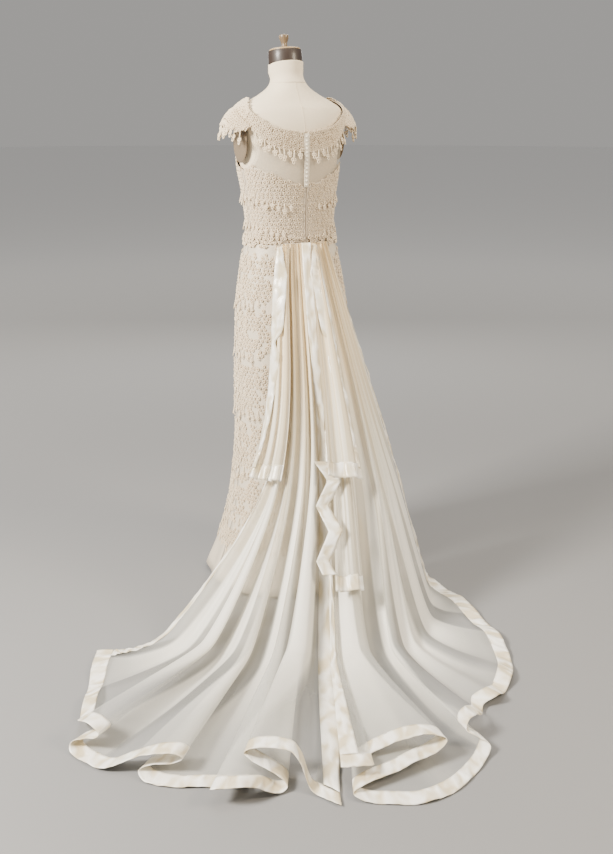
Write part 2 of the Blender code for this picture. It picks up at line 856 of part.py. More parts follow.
def build_long(word, table, guide, first_turn, last_turn, seat, edges):
    """Panel, two upright satin edges and hem band. Columns stand where the hem table has its rows."""
    point, plain, hem_length = long_panel(table, guide, first_turn, last_turn, seat)
    edge = BAND_WIDTH / hem_length
    seam = edge + SEAM_GAP / hem_length
    places = [row[0] for row in hem_rows(table)[0]]
    nearest = seam + CLOSEST / hem_length
    columns = [seam]
    for here, after in zip(places, places[1:]):
        if nearest < here < 1 - nearest:
            columns.append(here)
        middle = (here + after) / 2
        if (after - here) * hem_length > WIDEST and nearest < middle < 1 - nearest:
            columns.append(middle)
    columns.append(1 - seam)
    last = len(columns) - 1

    def above(share):
        return 1 - band_share(point, share) * (1 + 3.4 * SEAM_GAP / BAND_WIDTH)

    def beside(share, q, way):
        """The share one seam gap away from this one, at this distance down the cloth."""
        speed = (point(share + 0.004 * way, q) - point(share, q)).length / 0.004
        return share + way * 1.3 * SEAM_GAP / speed

    def panel(s, q):
        place = round(s * last)
        share = columns[place]
        if place == 0:
            share = beside(edge, above(edge) * q, 1)
        if place == last:
            share = beside(1 - edge, above(1 - edge) * q, -1)
        return point(share, above(share) * q)

    def first_edge(s, q):
        return point(edge * s, above(edge * s) * q)

    def last_edge(s, q):
        return point(1 - edge * (1 - s), above(1 - edge * (1 - s)) * q)

    def hem_band(s, q):
        share = ([0.0] + columns + [1.0])[round(s * (last + 2))]
        return point(share, 1 - band_share(point, share) * (1 - q))

    folded("train_%s_panel" % word, panel, last, TRAIN_ROWS, ORGANZA, ORGANZA_WALL)
    folded("train_%s_%s_edge" % (word, edges[0]), first_edge, 1, TRAIN_ROWS, SATIN, SATIN_WALL)
    folded("train_%s_%s_edge" % (word, edges[1]), last_edge, 1, TRAIN_ROWS, SATIN, SATIN_WALL)
    folded("train_%s_hem_band" % word, hem_band, last + 2, 1, SATIN, SATIN_WALL)
    return plain


CLOSEST = 0.030
WIDEST = 0.075
TRAIN_ROWS = 10
left_plain = build_long("left", LEFT_HEM, LEFT_GUIDE, 29, 2.0, 0.0042, ("outer", "opening"))
right_plain = build_long("right", RIGHT_HEM, RIGHT_GUIDE, -2.0, -29, 0.0024, ("opening", "outer"))


# Short tiers over the train: two at the sides, one in the opening, and the zigzag edge between them.


def tier(plain, first, last, foot, lift_top, lift_foot, folds, depth):
    """Panel that lies over a long one. first and last are shares of it, foot is where the hem is."""

    def point(s, q):
        share = first + (last - first) * s
        out = lift_top + (lift_foot - lift_top) * q**0.8
        wave = depth * (0.25 + 0.75 * q) * cos(2 * pi * folds * s)
        slide = 0.4 * depth * q * sin(4 * pi * folds * s)
        return plain(share, 0.004 + (foot - 0.004) * q, out + wave, slide)

    return point


def tier_pieces(word, point, columns, rows, edge, edge_side):
    """Organza, hem band and one satin edge, cut from the same surface."""
    low = band_share(point, 0.5)
    top = 1 - low * (1 + SEAM_GAP / BAND_WIDTH)
    gap = 0.020

    def cut(first, last, start, stop):
        return lambda s, q: point(first + (last - first) * s, start + (stop - start) * q)

    if edge_side == 0:
        folded(word + "_panel", cut(edge + gap, 1, 0, top), columns, rows, ORGANZA, ORGANZA_WALL)
        folded(word + "_edge", cut(0, edge, 0, top), 1, rows, SATIN, SATIN_WALL)
    else:
        folded(word + "_panel", cut(0, 1 - edge - gap, 0, top), columns, rows, ORGANZA, ORGANZA_WALL)
        folded(word + "_edge", cut(1 - edge, 1, 0, top), 1, rows, SATIN, SATIN_WALL)
    folded(word + "_hem_band", cut(0, 1, 1 - low, 1), columns + 2, 1, SATIN, SATIN_WALL)


overlay_left = tier(left_plain, -0.04, 0.42, 0.425, 0.0116, 0.062, 2.5, 0.010)
tier_pieces("overlay_left", overlay_left, 12, 6, 0.16, 0)
overlay_right = tier(right_plain, -0.02, 0.24, 0.435, 0.0151, 0.086, 1.5, 0.010)
tier_pieces("overlay_right", overlay_right, 12, 6, 0.22, 1)
opening_tier = tier(right_plain, 0.035, 0.195, 0.575, 0.0100, 0.060, 1.5, 0.006)


def zigzag(s, q):
    """Satin edge of the opening tier, which falls in a zigzag beside it."""
    swing = asin_wave(4.5 * s)
    share = 0.004 + 0.016 * swing + 0.020 * q
    return right_plain(share, 0.40 + 0.165 * s, 0.0502 + 0.0132 * s - 0.004 * (1 + cos(pi * 4.5 * s)))


def asin_wave(t):
    """Pointed wave between -1 and 1."""
    return 1 - 4 * abs((t / 2) % 1 - 0.5)


low = band_share(opening_tier, 0.5)
folded(
    "opening_tier_panel",
    lambda s, q: opening_tier(s, (1 - low * (1 + SEAM_GAP / BAND_WIDTH)) * q),
    9,
    8,
    ORGANZA,
    ORGANZA_WALL,
)
folded("opening_tier_hem_band", lambda s, q: opening_tier(s, 1 - low + low * q), 9, 1, SATIN, SATIN_WALL)
folded("opening_tier_zigzag", zigzag, 27, 1, SATIN, SATIN_WALL)
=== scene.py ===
"""Finish of the lace wedding dress and of the dress form it stands on.

Metres, +Z up. The dress faces -Y, its back and train point to +Y, and the wearer's left is +X.
"""

import random
from math import atan, cos, pi, radians, sin, sqrt

import bmesh
import bpy
import numpy as np
from mathutils import Matrix, Vector, noise


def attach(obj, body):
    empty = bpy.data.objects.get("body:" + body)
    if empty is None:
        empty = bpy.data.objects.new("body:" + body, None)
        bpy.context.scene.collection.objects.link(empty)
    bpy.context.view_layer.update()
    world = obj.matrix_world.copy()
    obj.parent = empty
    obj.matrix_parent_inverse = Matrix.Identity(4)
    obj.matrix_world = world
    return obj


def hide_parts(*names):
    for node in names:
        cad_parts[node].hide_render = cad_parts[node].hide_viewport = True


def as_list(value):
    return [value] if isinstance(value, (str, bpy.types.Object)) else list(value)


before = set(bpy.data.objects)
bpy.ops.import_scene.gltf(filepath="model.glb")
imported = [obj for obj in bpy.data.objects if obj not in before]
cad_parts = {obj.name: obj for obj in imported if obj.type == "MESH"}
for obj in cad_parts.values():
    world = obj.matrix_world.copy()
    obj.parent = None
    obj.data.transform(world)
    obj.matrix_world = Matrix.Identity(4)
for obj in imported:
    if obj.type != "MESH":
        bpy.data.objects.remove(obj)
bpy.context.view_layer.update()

FINE = 0.72


# The padded torso of the dress form.
# Real piece: a papier-mache shell, padded and covered in cream stretch cotton, sewn in panels
# with a seam down the centre back and one along each shoulder. The dress rests on it.

FORM_INSET = 0.0070
FORM_FOOT = 0.78
NECK_TOP_UP = 1.610
ARM_FACE = 0.152
CURVE_OF_BODY = 2.35
BODY = [
    # up, height, half width, back depth, front depth, shift of the middle
    (0.012, 0.012, 0.262, 0.238, 0.232, 0.000),
    (0.120, 0.120, 0.222, 0.195, 0.190, 0.000),
    (0.250, 0.250, 0.190, 0.162, 0.158, 0.000),
    (0.450, 0.450, 0.171, 0.135, 0.130, 0.000),
    (0.620, 0.620, 0.171, 0.130, 0.122, 0.000),
    (0.800, 0.800, 0.166, 0.131, 0.112, 0.000),
    (0.880, 0.880, 0.162, 0.127, 0.108, 0.000),
    (0.980, 0.980, 0.146, 0.108, 0.102, 0.000),
    (1.080, 1.080, 0.129, 0.092, 0.096, 0.000),
    (1.170, 1.170, 0.135, 0.095, 0.112, 0.000),
    (1.250, 1.250, 0.147, 0.100, 0.130, 0.000),
    (1.340, 1.335, 0.160, 0.100, 0.112, 0.000),
    (1.380, 1.375, 0.168, 0.096, 0.100, 0.000),
    (1.410, 1.402, 0.170, 0.088, 0.088, 0.000),
    (1.430, 1.418, 0.160, 0.080, 0.074, 0.000),
    (1.460, 1.434, 0.135, 0.070, 0.060, -0.002),
    (1.500, 1.452, 0.098, 0.063, 0.048, -0.005),
    (1.540, 1.474, 0.064, 0.057, 0.042, -0.010),
    (1.580, 1.500, 0.050, 0.051, 0.042, -0.016),
    (1.610, 1.520, 0.0475, 0.048, 0.044, -0.021),
]


def curve(rows, at):
    """Smooth values between the rows of a table, whose first column is where each row stands."""
    last = len(rows) - 1
    i = 0
    while i < last - 1 and at > rows[i + 1][0]:
        i += 1
    before = rows[max(i - 1, 0)]
    a = rows[i]
    b = rows[i + 1]
    after = rows[min(i + 2, last)]
    span = b[0] - a[0]
    t = min(max((at - a[0]) / span, 0.0), 1.0)
    t2 = t * t
    t3 = t2 * t
    ease_a = 2 * t3 - 3 * t2 + 1
    ease_b = 3 * t2 - 2 * t3
    slope_a = (t3 - 2 * t2 + t) * span / (b[0] - before[0])
    slope_b = (t3 - t2) * span / (after[0] - a[0])
    return [
        a[c] * ease_a + (b[c] - before[c]) * slope_a + b[c] * ease_b + (after[c] - a[c]) * slope_b
        for c in range(1, len(a))
    ]


def on_body(turn, up):
    """Point on the body line: turn in degrees from the centre back towards the wearer's left."""
    height, half, back, front, shift = curve(BODY, up)
    s = sin(radians(turn))
    c = cos(radians(turn))
    power = 2 / CURVE_OF_BODY
    x = half * abs(s) ** power * (1 if s >= 0 else -1)
    y = (back if c >= 0 else front) * abs(c) ** power * (1 if c >= 0 else -1)
    return Vector((x, y + shift, height))


def body(turn, up, out=0.0):
    """Point on the body line, moved out along its surface normal."""
    across = on_body(turn + 1.5, up) - on_body(turn - 1.5, up)
    along = on_body(turn, up + 0.004) - on_body(turn, up - 0.004)
    return on_body(turn, up) + along.cross(across).normalized() * out


def mixer(nodes, links, amount, first, second, kind="RGBA"):
    """A mix of two colours by a mask. first and second are colours or sockets."""
    mix = nodes.new("ShaderNodeMix")
    mix.data_type = kind
    links.new(amount, mix.inputs[0])
    for place, value in ((6, first), (7, second)):
        if isinstance(value, bpy.types.NodeSocket):
            links.new(value, mix.inputs[place])
        else:
            mix.inputs[place].default_value = (*value, 1.0)
    return mix.outputs[2]


def thread_weave():
    """Shader group: crossed threads of a plain weave, with slubs, on a UV map in metres."""
    group = bpy.data.node_groups.new("thread_weave", "ShaderNodeTree")
    face = group.interface
    face.new_socket("Thread Scale", in_out="INPUT", socket_type="NodeSocketFloat")
    face.new_socket("Slub Scale", in_out="INPUT", socket_type="NodeSocketFloat")
    face.new_socket("Thread Height", in_out="OUTPUT", socket_type="NodeSocketFloat")
    face.new_socket("Slub Mask", in_out="OUTPUT", socket_type="NodeSocketFloat")
    nodes = group.nodes
    links = group.links
    start = nodes.new("NodeGroupInput")
    end = nodes.new("NodeGroupOutput")
    cut = nodes.new("ShaderNodeTexCoord")
    waves = []
    for way in ("X", "Y"):
        wave = nodes.new("ShaderNodeTexWave")
        wave.bands_direction = way
        wave.inputs["Distortion"].default_value = 0.4
        wave.inputs["Detail"].default_value = 1.0
        links.new(cut.outputs["UV"], wave.inputs["Vector"])
        links.new(start.outputs["Thread Scale"], wave.inputs["Scale"])
        waves.append(wave)
    over = nodes.new("ShaderNodeMath")
    over.operation = "MAXIMUM"
    links.new(waves[0].outputs["Fac"], over.inputs[0])
    links.new(waves[1].outputs["Fac"], over.inputs[1])
    links.new(over.outputs[0], end.inputs["Thread Height"])
    slub = nodes.new("ShaderNodeTexNoise")
    slub.inputs["Detail"].default_value = 3.0
    links.new(cut.outputs["UV"], slub.inputs["Vector"])
    links.new(start.outputs["Slub Scale"], slub.inputs["Scale"])
    links.new(slub.outputs["Fac"], end.inputs["Slub Mask"])
    return group


WEAVE = thread_weave()


def cloth_finish(name, light, dark, roughness, threads, slubs, bump, sheen=0.0, alpha=1.0, coat=0.0):
    """A woven cloth: two tones mixed by its slubs, with threads as a fine bump."""
    made = bpy.data.materials.new(name)
    made.use_nodes = True
    nodes = made.node_tree.nodes
    links = made.node_tree.links
    shader = nodes["Principled BSDF"]
    weave = nodes.new("ShaderNodeGroup")
    weave.node_tree = WEAVE
    weave.inputs["Thread Scale"].default_value = threads
    weave.inputs["Slub Scale"].default_value = slubs
    links.new(mixer(nodes, links, weave.outputs["Slub Mask"], dark, light), shader.inputs["Base Color"])
    raised = nodes.new("ShaderNodeBump")
    raised.inputs["Strength"].default_value = bump
    raised.inputs["Distance"].default_value = 0.0003
    links.new(weave.outputs["Thread Height"], raised.inputs["Height"])
    links.new(raised.outputs["Normal"], shader.inputs["Normal"])
    shader.inputs["Roughness"].default_value = roughness
    shader.inputs["Sheen Weight"].default_value = sheen
    shader.inputs["Sheen Roughness"].default_value = 0.4
    shader.inputs["Alpha"].default_value = alpha
    shader.inputs["Coat Weight"].default_value = coat
    shader.inputs["Coat Roughness"].default_value = 0.35
    return made


def piece(name, shape, finish, nodes=(), wall=0.0, side=0.0):
    """Object from a bmesh or a mesh, that rides on the one body and stands for the named CAD nodes."""
    if isinstance(shape, bmesh.types.BMesh):
        mesh = bpy.data.meshes.new(name)
        shape.to_mesh(mesh)
        shape.free()
    else:
        mesh = shape
    mesh.shade_smooth()
    mesh.materials.append(finish)
    made = bpy.data.objects.new(name, mesh)
    bpy.context.scene.collection.objects.link(made)
    if wall:
        shell = made.modifiers.new("wall", "SOLIDIFY")
        shell.thickness = wall
        shell.offset = side
    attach(made, "root")
    if nodes:
        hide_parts(*nodes)
    return made


def cloth_grid(columns, rows, place, cut, flip=False):
    """Grid of cloth whose points are placed by two shares, across and down. cut is its flat size."""
    bm = bmesh.new()
    layer = bm.loops.layers.uv.new("cut")
    bmesh.ops.create_grid(bm, x_segments=columns, y_segments=rows, size=0.5)
    for face in bm.faces:
        for loop in face.loops:
            shares = loop.vert.co
            loop[layer].uv = ((shares.x + 0.5) * cut[0], (shares.y + 0.5) * cut[1])
    for vertex in bm.verts:
        vertex.co = place(min(max(vertex.co.x + 0.5, 0.0), 1.0), min(max(vertex.co.y + 0.5, 0.0), 1.0))
    if flip:
        bmesh.ops.reverse_faces(bm, faces=bm.faces)
    return bm


def torso_point(s, q):
    p = body(360 * s, FORM_FOOT + (NECK_TOP_UP - FORM_FOOT) * q, -FORM_INSET)
    if p.z > 1.22:
        off_plate = sqrt((p.y / 0.050) ** 2 + ((p.z - 1.322) / 0.056) ** 2) - 0.98
        reach = ARM_FACE + 0.15 * max(0.0, off_plate)
        p.x = min(max(p.x, -reach), reach)
    return p


FORM_COTTON = cloth_finish(
    "form_cotton", (0.86, 0.745, 0.565), (0.82, 0.70, 0.515), 0.9, 600, 30, 0.25, sheen=0.15
)
bm = cloth_grid(int(120 * FINE), int(110 * FINE), torso_point, (0.9, 0.83), flip=True)
bmesh.ops.remove_doubles(bm, verts=bm.verts, dist=0.00002)
bmesh.ops.holes_fill(bm, edges=[edge for edge in bm.edges if edge.is_boundary], sides=0)
bmesh.ops.recalc_face_normals(bm, faces=bm.faces)
piece("form_torso_cloth", bm, FORM_COTTON, ("form_torso",))


def stitched_line(name, points, radius, finish):
    """A thin raised line, such as a seam or a thread, through a row of points."""
    line = bpy.data.curves.new(name, "CURVE")
    line.dimensions = "3D"
    line.bevel_depth = radius
    line.bevel_resolution = 1
    line.use_fill_caps = True
    run = line.splines.new("POLY")
    run.points.add(len(points) - 1)
    for at, p in zip(run.points, points):
        at.co = (*p, 1.0)
    holder = bpy.data.objects.new(name + "_line", line)
    bpy.context.scene.collection.objects.link(holder)
    bpy.context.view_layer.update()
    mesh = bpy.data.meshes.new_from_object(holder.evaluated_get(bpy.context.evaluated_depsgraph_get()))
    bpy.data.objects.remove(holder, do_unlink=True)
    return piece(name, mesh, finish)


FORM_SEAM = cloth_finish("form_seam", (0.80, 0.685, 0.51), (0.74, 0.63, 0.46), 0.95, 600, 60, 0.3)
for name, turn, low, high in (
    ("form_seam_back", 0, 1.345, 1.604),
    ("form_seam_left", 90, 1.420, 1.604),
    ("form_seam_right", -90, 1.420, 1.604),
    ("form_seam_front", 180, 1.375, 1.604),
):
    points = [body(turn, low + (high - low) * k / 30, -FORM_INSET + 0.0001) for k in range(31)]
    stitched_line(name, points, 0.0006, FORM_SEAM)

bm = bmesh.new()
bmesh.ops.create_uvsphere(bm, u_segments=12, v_segments=8, radius=0.0021)
pin_place = body(0, 1.428, -FORM_INSET + 0.0010)
bmesh.ops.translate(bm, verts=bm.verts, vec=pin_place)
piece("form_pin_head", bm, FORM_SEAM)


# The neck block, its rim and the finial.
# Real pieces: a turned block of dark stained wood on the neck, a pale rim let into its top edge,
# and a small turned knob of lighter wood screwed into the middle.


def turned_piece(name, profile, finish, node, lean=0.0, place=(0, 0, 0), sides=96):
    """Profile of (radius, height) spun round the axis, leaned forwards and put in its place."""
    bm = bmesh.new()
    verts = [bm.verts.new((max(radius, 0.0), 0.0, height)) for radius, height in profile]
    edges = [bm.edges.new((a, b)) for a, b in zip(verts, verts[1:])]
    bmesh.ops.spin(
        bm, geom=verts + edges, cent=(0, 0, 0), axis=(0, 0, 1), angle=2 * pi, steps=sides, use_merge=True
    )
    bmesh.ops.remove_doubles(bm, verts=bm.verts, dist=0.000005)
    bmesh.ops.recalc_face_normals(bm, faces=bm.faces)
    bm.transform(Matrix.Translation(place) @ Matrix.Rotation(lean, 4, "X"))
    made = piece(name, bm, finish, (node,))
    made.data.set_sharp_from_angle(angle=radians(32))
    return made


def wood_finish(name, light, dark, roughness, coat, scale):
    """Stained wood with grain along its length, on Object coordinates."""
    made = bpy.data.materials.new(name)
    made.use_nodes = True
    nodes = made.node_tree.nodes
    links = made.node_tree.links
    shader = nodes["Principled BSDF"]
    where = nodes.new("ShaderNodeTexCoord")
    along = nodes.new("ShaderNodeMapping")
    along.inputs["Scale"].default_value = (scale, scale, scale * 0.08)
    links.new(where.outputs["Object"], along.inputs["Vector"])
    grain = nodes.new("ShaderNodeTexNoise")
    grain.inputs["Scale"].default_value = 1.0
    grain.inputs["Detail"].default_value = 5.0
    links.new(along.outputs["Vector"], grain.inputs["Vector"])
    links.new(mixer(nodes, links, grain.outputs["Fac"], dark, light), shader.inputs["Base Color"])
    raised = nodes.new("ShaderNodeBump")
    raised.inputs["Strength"].default_value = 0.25
    raised.inputs["Distance"].default_value = 0.0004
    links.new(grain.outputs["Fac"], raised.inputs["Height"])
    links.new(raised.outputs["Normal"], shader.inputs["Normal"])
    shader.inputs["Roughness"].default_value = roughness
    shader.inputs["Coat Weight"].default_value = coat
    shader.inputs["Coat Roughness"].default_value = 0.25
    return made


NECK_LEAN = radians(8)
NECK_FOOT = 1.520 + 0.0066
NECK_BACK = -0.0200


def up_the_neck(height):
    """Place on the leaning axis of the neck block."""
    return (0.0, NECK_BACK - height * sin(NECK_LEAN), NECK_FOOT + height * cos(NECK_LEAN))


DARK_WOOD = wood_finish("dark_stained_wood", (0.036, 0.020, 0.012), (0.012, 0.006, 0.004), 0.55, 0.35, 260)
PALE_WOOD = wood_finish("pale_rim_wood", (0.44, 0.31, 0.16), (0.30, 0.20, 0.10), 0.5, 0.15, 200)
KNOB_WOOD = wood_finish("turned_knob_wood", (0.21, 0.145, 0.08), (0.10, 0.062, 0.03), 0.42, 0.4, 420)
turned_piece(
    "neck_block_wood",
    [
        (0.0, 0.0400),
        (0.0455, 0.0400),
        (0.0470, 0.0394),
        (0.0476, 0.0380),
        (0.0480, 0.0220),
        (0.0480, 0.0040),
        (0.0476, 0.0020),
        (0.0466, 0.0012),
        (0.0, 0.0012),
    ],
    DARK_WOOD,
    "neck_block",
    NECK_LEAN,
    up_the_neck(0.0),
)
turned_piece(
    "neck_rim_ring",
    [
        (0.0, 0.0048),
        (0.0370, 0.0050),
        (0.0415, 0.0046),
        (0.0436, 0.0034),
        (0.0442, 0.0018),
        (0.0440, 0.0003),
        (0.0, 0.0003),
    ],
    PALE_WOOD,
    "neck_rim",
    NECK_LEAN,
    up_the_neck(0.0400),
)
turned_piece(
    "neck_finial_knob",
    [
        (0.0, 0.0378),
        (0.0090, 0.0376),
        (0.0125, 0.0368),
        (0.0140, 0.0352),
        (0.0141, 0.0320),
        (0.0134, 0.0285),
        (0.0118, 0.0240),
        (0.0101, 0.0200),
        (0.0086, 0.0155),
        (0.0079, 0.0115),
        (0.0080, 0.0075),
        (0.0092, 0.0045),
        (0.0108, 0.0022),
        (0.0112, 0.0003),
        (0.0, 0.0003),
    ],
    KNOB_WOOD,
    "neck_finial",
    NECK_LEAN,
    up_the_neck(0.0453),
)


# The turned-up edge of the neck cloth.
# Real piece: the form's cotton, pulled up over the foot of the neck block and highest at the back.


def neck_edge(s, q):
    low = body(360 * s, NECK_TOP_UP - 0.055, -FORM_INSET + 0.0003)
    x, y, z = up_the_neck(0.002 + 0.012 * max(0.0, cos(2 * pi * s)) ** 0.8)
    high = Vector((x + 0.0496 * sin(2 * pi * s), y + 0.0496 * cos(2 * pi * s), z))
    up = NECK_TOP_UP - 0.055 + 0.055 * min(q / 0.75, 1.0)
    along = body(360 * s, up, -FORM_INSET + 0.0003 + 0.0012 * q)
    share = min(q / 0.62, 1.0)
    blend = share * share * (3 - 2 * share)
    flat = along.lerp(high, blend)
    return Vector((flat.x, flat.y, low.z + (high.z - low.z) * q))


bm = cloth_grid(64, 20, neck_edge, (0.31, 0.02), flip=True)
bmesh.ops.remove_doubles(bm, verts=bm.verts, dist=0.00002)
piece("form_neck_edge", bm, FORM_COTTON, wall=0.0012, side=-1.0)


# The pole and the round base.
# Real pieces: a steel tube up into the torso and a heavy steel disc on the floor, both powder
# coated in black. The skirt hides them, and they are seen only from below its hem.

stand_finish = bpy.data.materials.new("powder_coated_steel")
stand_finish.use_nodes = True
nodes = stand_finish.node_tree.nodes
links = stand_finish.node_tree.links
where = nodes.new("ShaderNodeTexCoord")
speckle = nodes.new("ShaderNodeTexNoise")
speckle.inputs["Scale"].default_value = 1400.0
links.new(where.outputs["Object"], speckle.inputs["Vector"])
raised = nodes.new("ShaderNodeBump")
raised.inputs["Strength"].default_value = 0.3
raised.inputs["Distance"].default_value = 0.0002
links.new(speckle.outputs["Fac"], raised.inputs["Height"])
links.new(raised.outputs["Normal"], nodes["Principled BSDF"].inputs["Normal"])
shade = mixer(nodes, links, speckle.outputs["Fac"], (0.020, 0.020, 0.021), (0.034, 0.034, 0.035))
links.new(shade, nodes["Principled BSDF"].inputs["Base Color"])
nodes["Principled BSDF"].inputs["Roughness"].default_value = 0.5

turned_piece(
    "stand_pole_tube",
    [(0.0, FORM_FOOT - 0.0006), (0.0150, FORM_FOOT - 0.0006), (0.0160, FORM_FOOT - 0.0016), (0.0160, 0.0163), (0.0, 0.0163)],
    stand_finish,
    "stand_pole",
    sides=48,
)
turned_piece(
    "stand_base_disc",
    [(0.0, 0.0160), (0.030, 0.0160), (0.110, 0.0132), (0.124, 0.0118), (0.1288, 0.0096), (0.1300, 0.0070), (0.1300, 0.0), (0.0, 0.0)],
    stand_finish,
    "stand_base",
)


# The arm covers.
# Real pieces: two flat oval plates where arms would be, padded and covered in taupe cloth,
# with a corded edge. They show through the armholes.

# The taupe is darker than the cloth's own colour: partly taupe cloth, partly painted shade of the armholes it shows
# through.
ARM_CLOTH_AND_SHADE = cloth_finish("taupe_arm_cloth_with_painted_shade", (0.19, 0.145, 0.095), (0.15, 0.11, 0.07), 0.92, 600, 40, 0.3, sheen=0.2)
for side, word in ((1, "left"), (-1, "right")):
    bm = bmesh.new()
    bmesh.ops.create_uvsphere(bm, u_segments=48, v_segments=24, radius=1.0)
    for v in bm.verts:
        rim = sqrt(v.co.x**2 + v.co.y**2)
        depth = v.co.z
        x = ARM_FACE + 0.0040 + 0.0035 * max(min(depth * 1.6, 1.0), -1.0)
        v.co = Vector((side * x, 0.043 * v.co.x, 1.322 + 0.056 * v.co.y))
    bmesh.ops.recalc_face_normals(bm, faces=bm.faces)
    piece("arm_cover_plate_" + word, bm, ARM_CLOTH_AND_SHADE, ("arm_cover_" + word,))
    edge = []
    for k in range(61):
        angle = 2 * pi * k / 60
        edge.append((side * (ARM_FACE + 0.0040), 0.0432 * cos(angle), 1.322 + 0.0562 * sin(angle)))
    stitched_line("arm_cover_cord_" + word, edge, 0.0010, ARM_CLOTH_AND_SHADE)


# The sheath skirt.
# Real piece: front and back of cream satin, joined at the side seams and fluted at the hem. It is
# the ground that the six tiers of lace are sewn to.

SKIRT_WALL = 0.0016
SKIRT_TOP = 1.0440
SKIRT_HEM = 0.012
FLUTE = 0.0075
SIDE_SEAM = 0.14


def flute_share(up):
    return max(0.0, 1 - up / 0.55) ** 1.6


def skirt(turn, up, out=0.0):
    """Skirt surface: the body line, with soft flutes that grow towards the hem."""
    wave = FLUTE * flute_share(up) * cos(radians(turn) * 12)
    return body(turn, up, out + wave)


def ease_of_cloth(turn, up):
    """Soft upright ripples of cloth that isn't pulled tight, in metres."""
    ripple = noise.noise(Vector((turn * 0.09, up * 2.2, 3.0)))
    fine = noise.noise(Vector((turn * 0.28, up * 5.0, 9.0)))
    return 0.0011 * ripple + 0.0005 * fine


def skirt_panel(first, last):
    def point(s, q):
        up = SKIRT_HEM + (SKIRT_TOP - SKIRT_HEM) * (1 - q) ** 0.85
        turn = first + (last - first) * s
        return skirt(turn, up, 0.5 * SKIRT_WALL + ease_of_cloth(turn, up))

    return point


GROUND_SATIN = cloth_finish(
    "sheath_ground", (0.74, 0.655, 0.53), (0.64, 0.555, 0.43), 0.42, 900, 26, 0.2, sheen=0.15
)
skirt_back = piece(
    "sheath_back",
    cloth_grid(int(90 * FINE), int(110 * FINE), skirt_panel(-90 + SIDE_SEAM, 90 - SIDE_SEAM), (0.55, 1.05)),
    GROUND_SATIN,
    ("skirt_back",),
    0.0008,
)
skirt_front = piece(
    "sheath_front",
    cloth_grid(int(90 * FINE), int(110 * FINE), skirt_panel(90 + SIDE_SEAM, 270 - SIDE_SEAM), (0.55, 1.05)),
    GROUND_SATIN,
    ("skirt_front",),
    0.0008,
)


# Lace flowers and leaves.
# Real pieces: heavy cotton guipure, machine embroidered on a ground that is dissolved away. It is
# made of small five-petalled flowers and leaves joined by bars, about 1.5 mm thick.

GUIPURE = bpy.data.materials.new("guipure_cotton_with_painted_shade")
GUIPURE.use_nodes = True
nodes = GUIPURE.node_tree.nodes
links = GUIPURE.node_tree.links
where = nodes.new("ShaderNodeTexCoord")
age = nodes.new("ShaderNodeTexNoise")
age.inputs["Scale"].default_value = 14.0
age.inputs["Detail"].default_value = 3.0
links.new(where.outputs["Object"], age.inputs["Vector"])
# Painted shade: the lace's colour runs from a dark low tone where it lies low to its own pale high tone where it stands
# up, by the rise attribute, so the gaps and sunk middles are painted darker.
rise_for_painted_shade = nodes.new("ShaderNodeAttribute")
rise_for_painted_shade.attribute_name = "rise"
painted_shade_tone = mixer(nodes, links, age.outputs["Fac"], (0.36, 0.25, 0.145), (0.50, 0.375, 0.235))
high_tone = mixer(nodes, links, age.outputs["Fac"], (0.84, 0.69, 0.48), (0.96, 0.85, 0.66))
shade = mixer(nodes, links, rise_for_painted_shade.outputs["Fac"], painted_shade_tone, high_tone)
links.new(shade, nodes["Principled BSDF"].inputs["Base Color"])
stitch = nodes.new("ShaderNodeTexVoronoi")
stitch.inputs["Scale"].default_value = 1100.0
links.new(where.outputs["Object"], stitch.inputs["Vector"])
raised = nodes.new("ShaderNodeBump")
raised.inputs["Strength"].default_value = 0.5
raised.inputs["Distance"].default_value = 0.0003
links.new(stitch.outputs["Distance"], raised.inputs["Height"])
links.new(raised.outputs["Normal"], nodes["Principled BSDF"].inputs["Normal"])
nodes["Principled BSDF"].inputs["Roughness"].default_value = 0.88
nodes["Principled BSDF"].inputs["Sheen Weight"].default_value = 0.2

FLOWER = 0.0061
LACE_PITCH = 0.0122


def mark_rise_for_painted_shade(mesh, low, high):
    """Stores how far each point stands up from the ground, from 0 to 1, for the lace finish, which paints the low parts
    darker as shade.
    """
    layer = mesh.attributes.new("rise", "FLOAT", "POINT")
    layer.data.foreach_set("value", [min(max((v.co.z - low) / (high - low), 0.0), 1.0) for v in mesh.vertices])


def flower_shape():
    """Five-petalled flower, with raised rims to its petals and a sunk middle: 53 triangles."""
    bm = bmesh.new()
    rings = []
    for reach, height in ((1.0, 0.0002), (0.74, 0.0026)):
        ring = []
        for k in range(15):
            petal = abs(cos(2.5 * 2 * pi * k / 15 + 0.35)) ** 0.5
            far = FLOWER * reach * (0.56 + 0.44 * petal)
            ring.append(bm.verts.new((far * cos(2 * pi * k / 15), far * sin(2 * pi * k / 15), height)))
        rings.append(ring)
    edge, rim = rings
    sunk = FLOWER * 0.36
    middle = [bm.verts.new((sunk * cos(0.4 * pi * k), sunk * sin(0.4 * pi * k), 0.0003)) for k in range(5)]
    for k in range(15):
        bm.faces.new((edge[k], edge[(k + 1) % 15], rim[(k + 1) % 15], rim[k]))
    for k in range(5):
        after = (k + 1) % 5
        bm.faces.new((rim[3 * k], rim[3 * k + 1], middle[k]))
        bm.faces.new((rim[3 * k + 1], rim[3 * k + 2], middle[after], middle[k]))
        bm.faces.new((rim[3 * k + 2], rim[3 * after], middle[after]))
    bm.faces.new(middle)
    mesh = bpy.data.meshes.new("flower_shape")
    bm.to_mesh(mesh)
    bm.free()
    # The low outer edge and the sunk middle take the lace's painted shade tone.
    mark_rise_for_painted_shade(mesh, 0.0004, 0.0022)
    return mesh


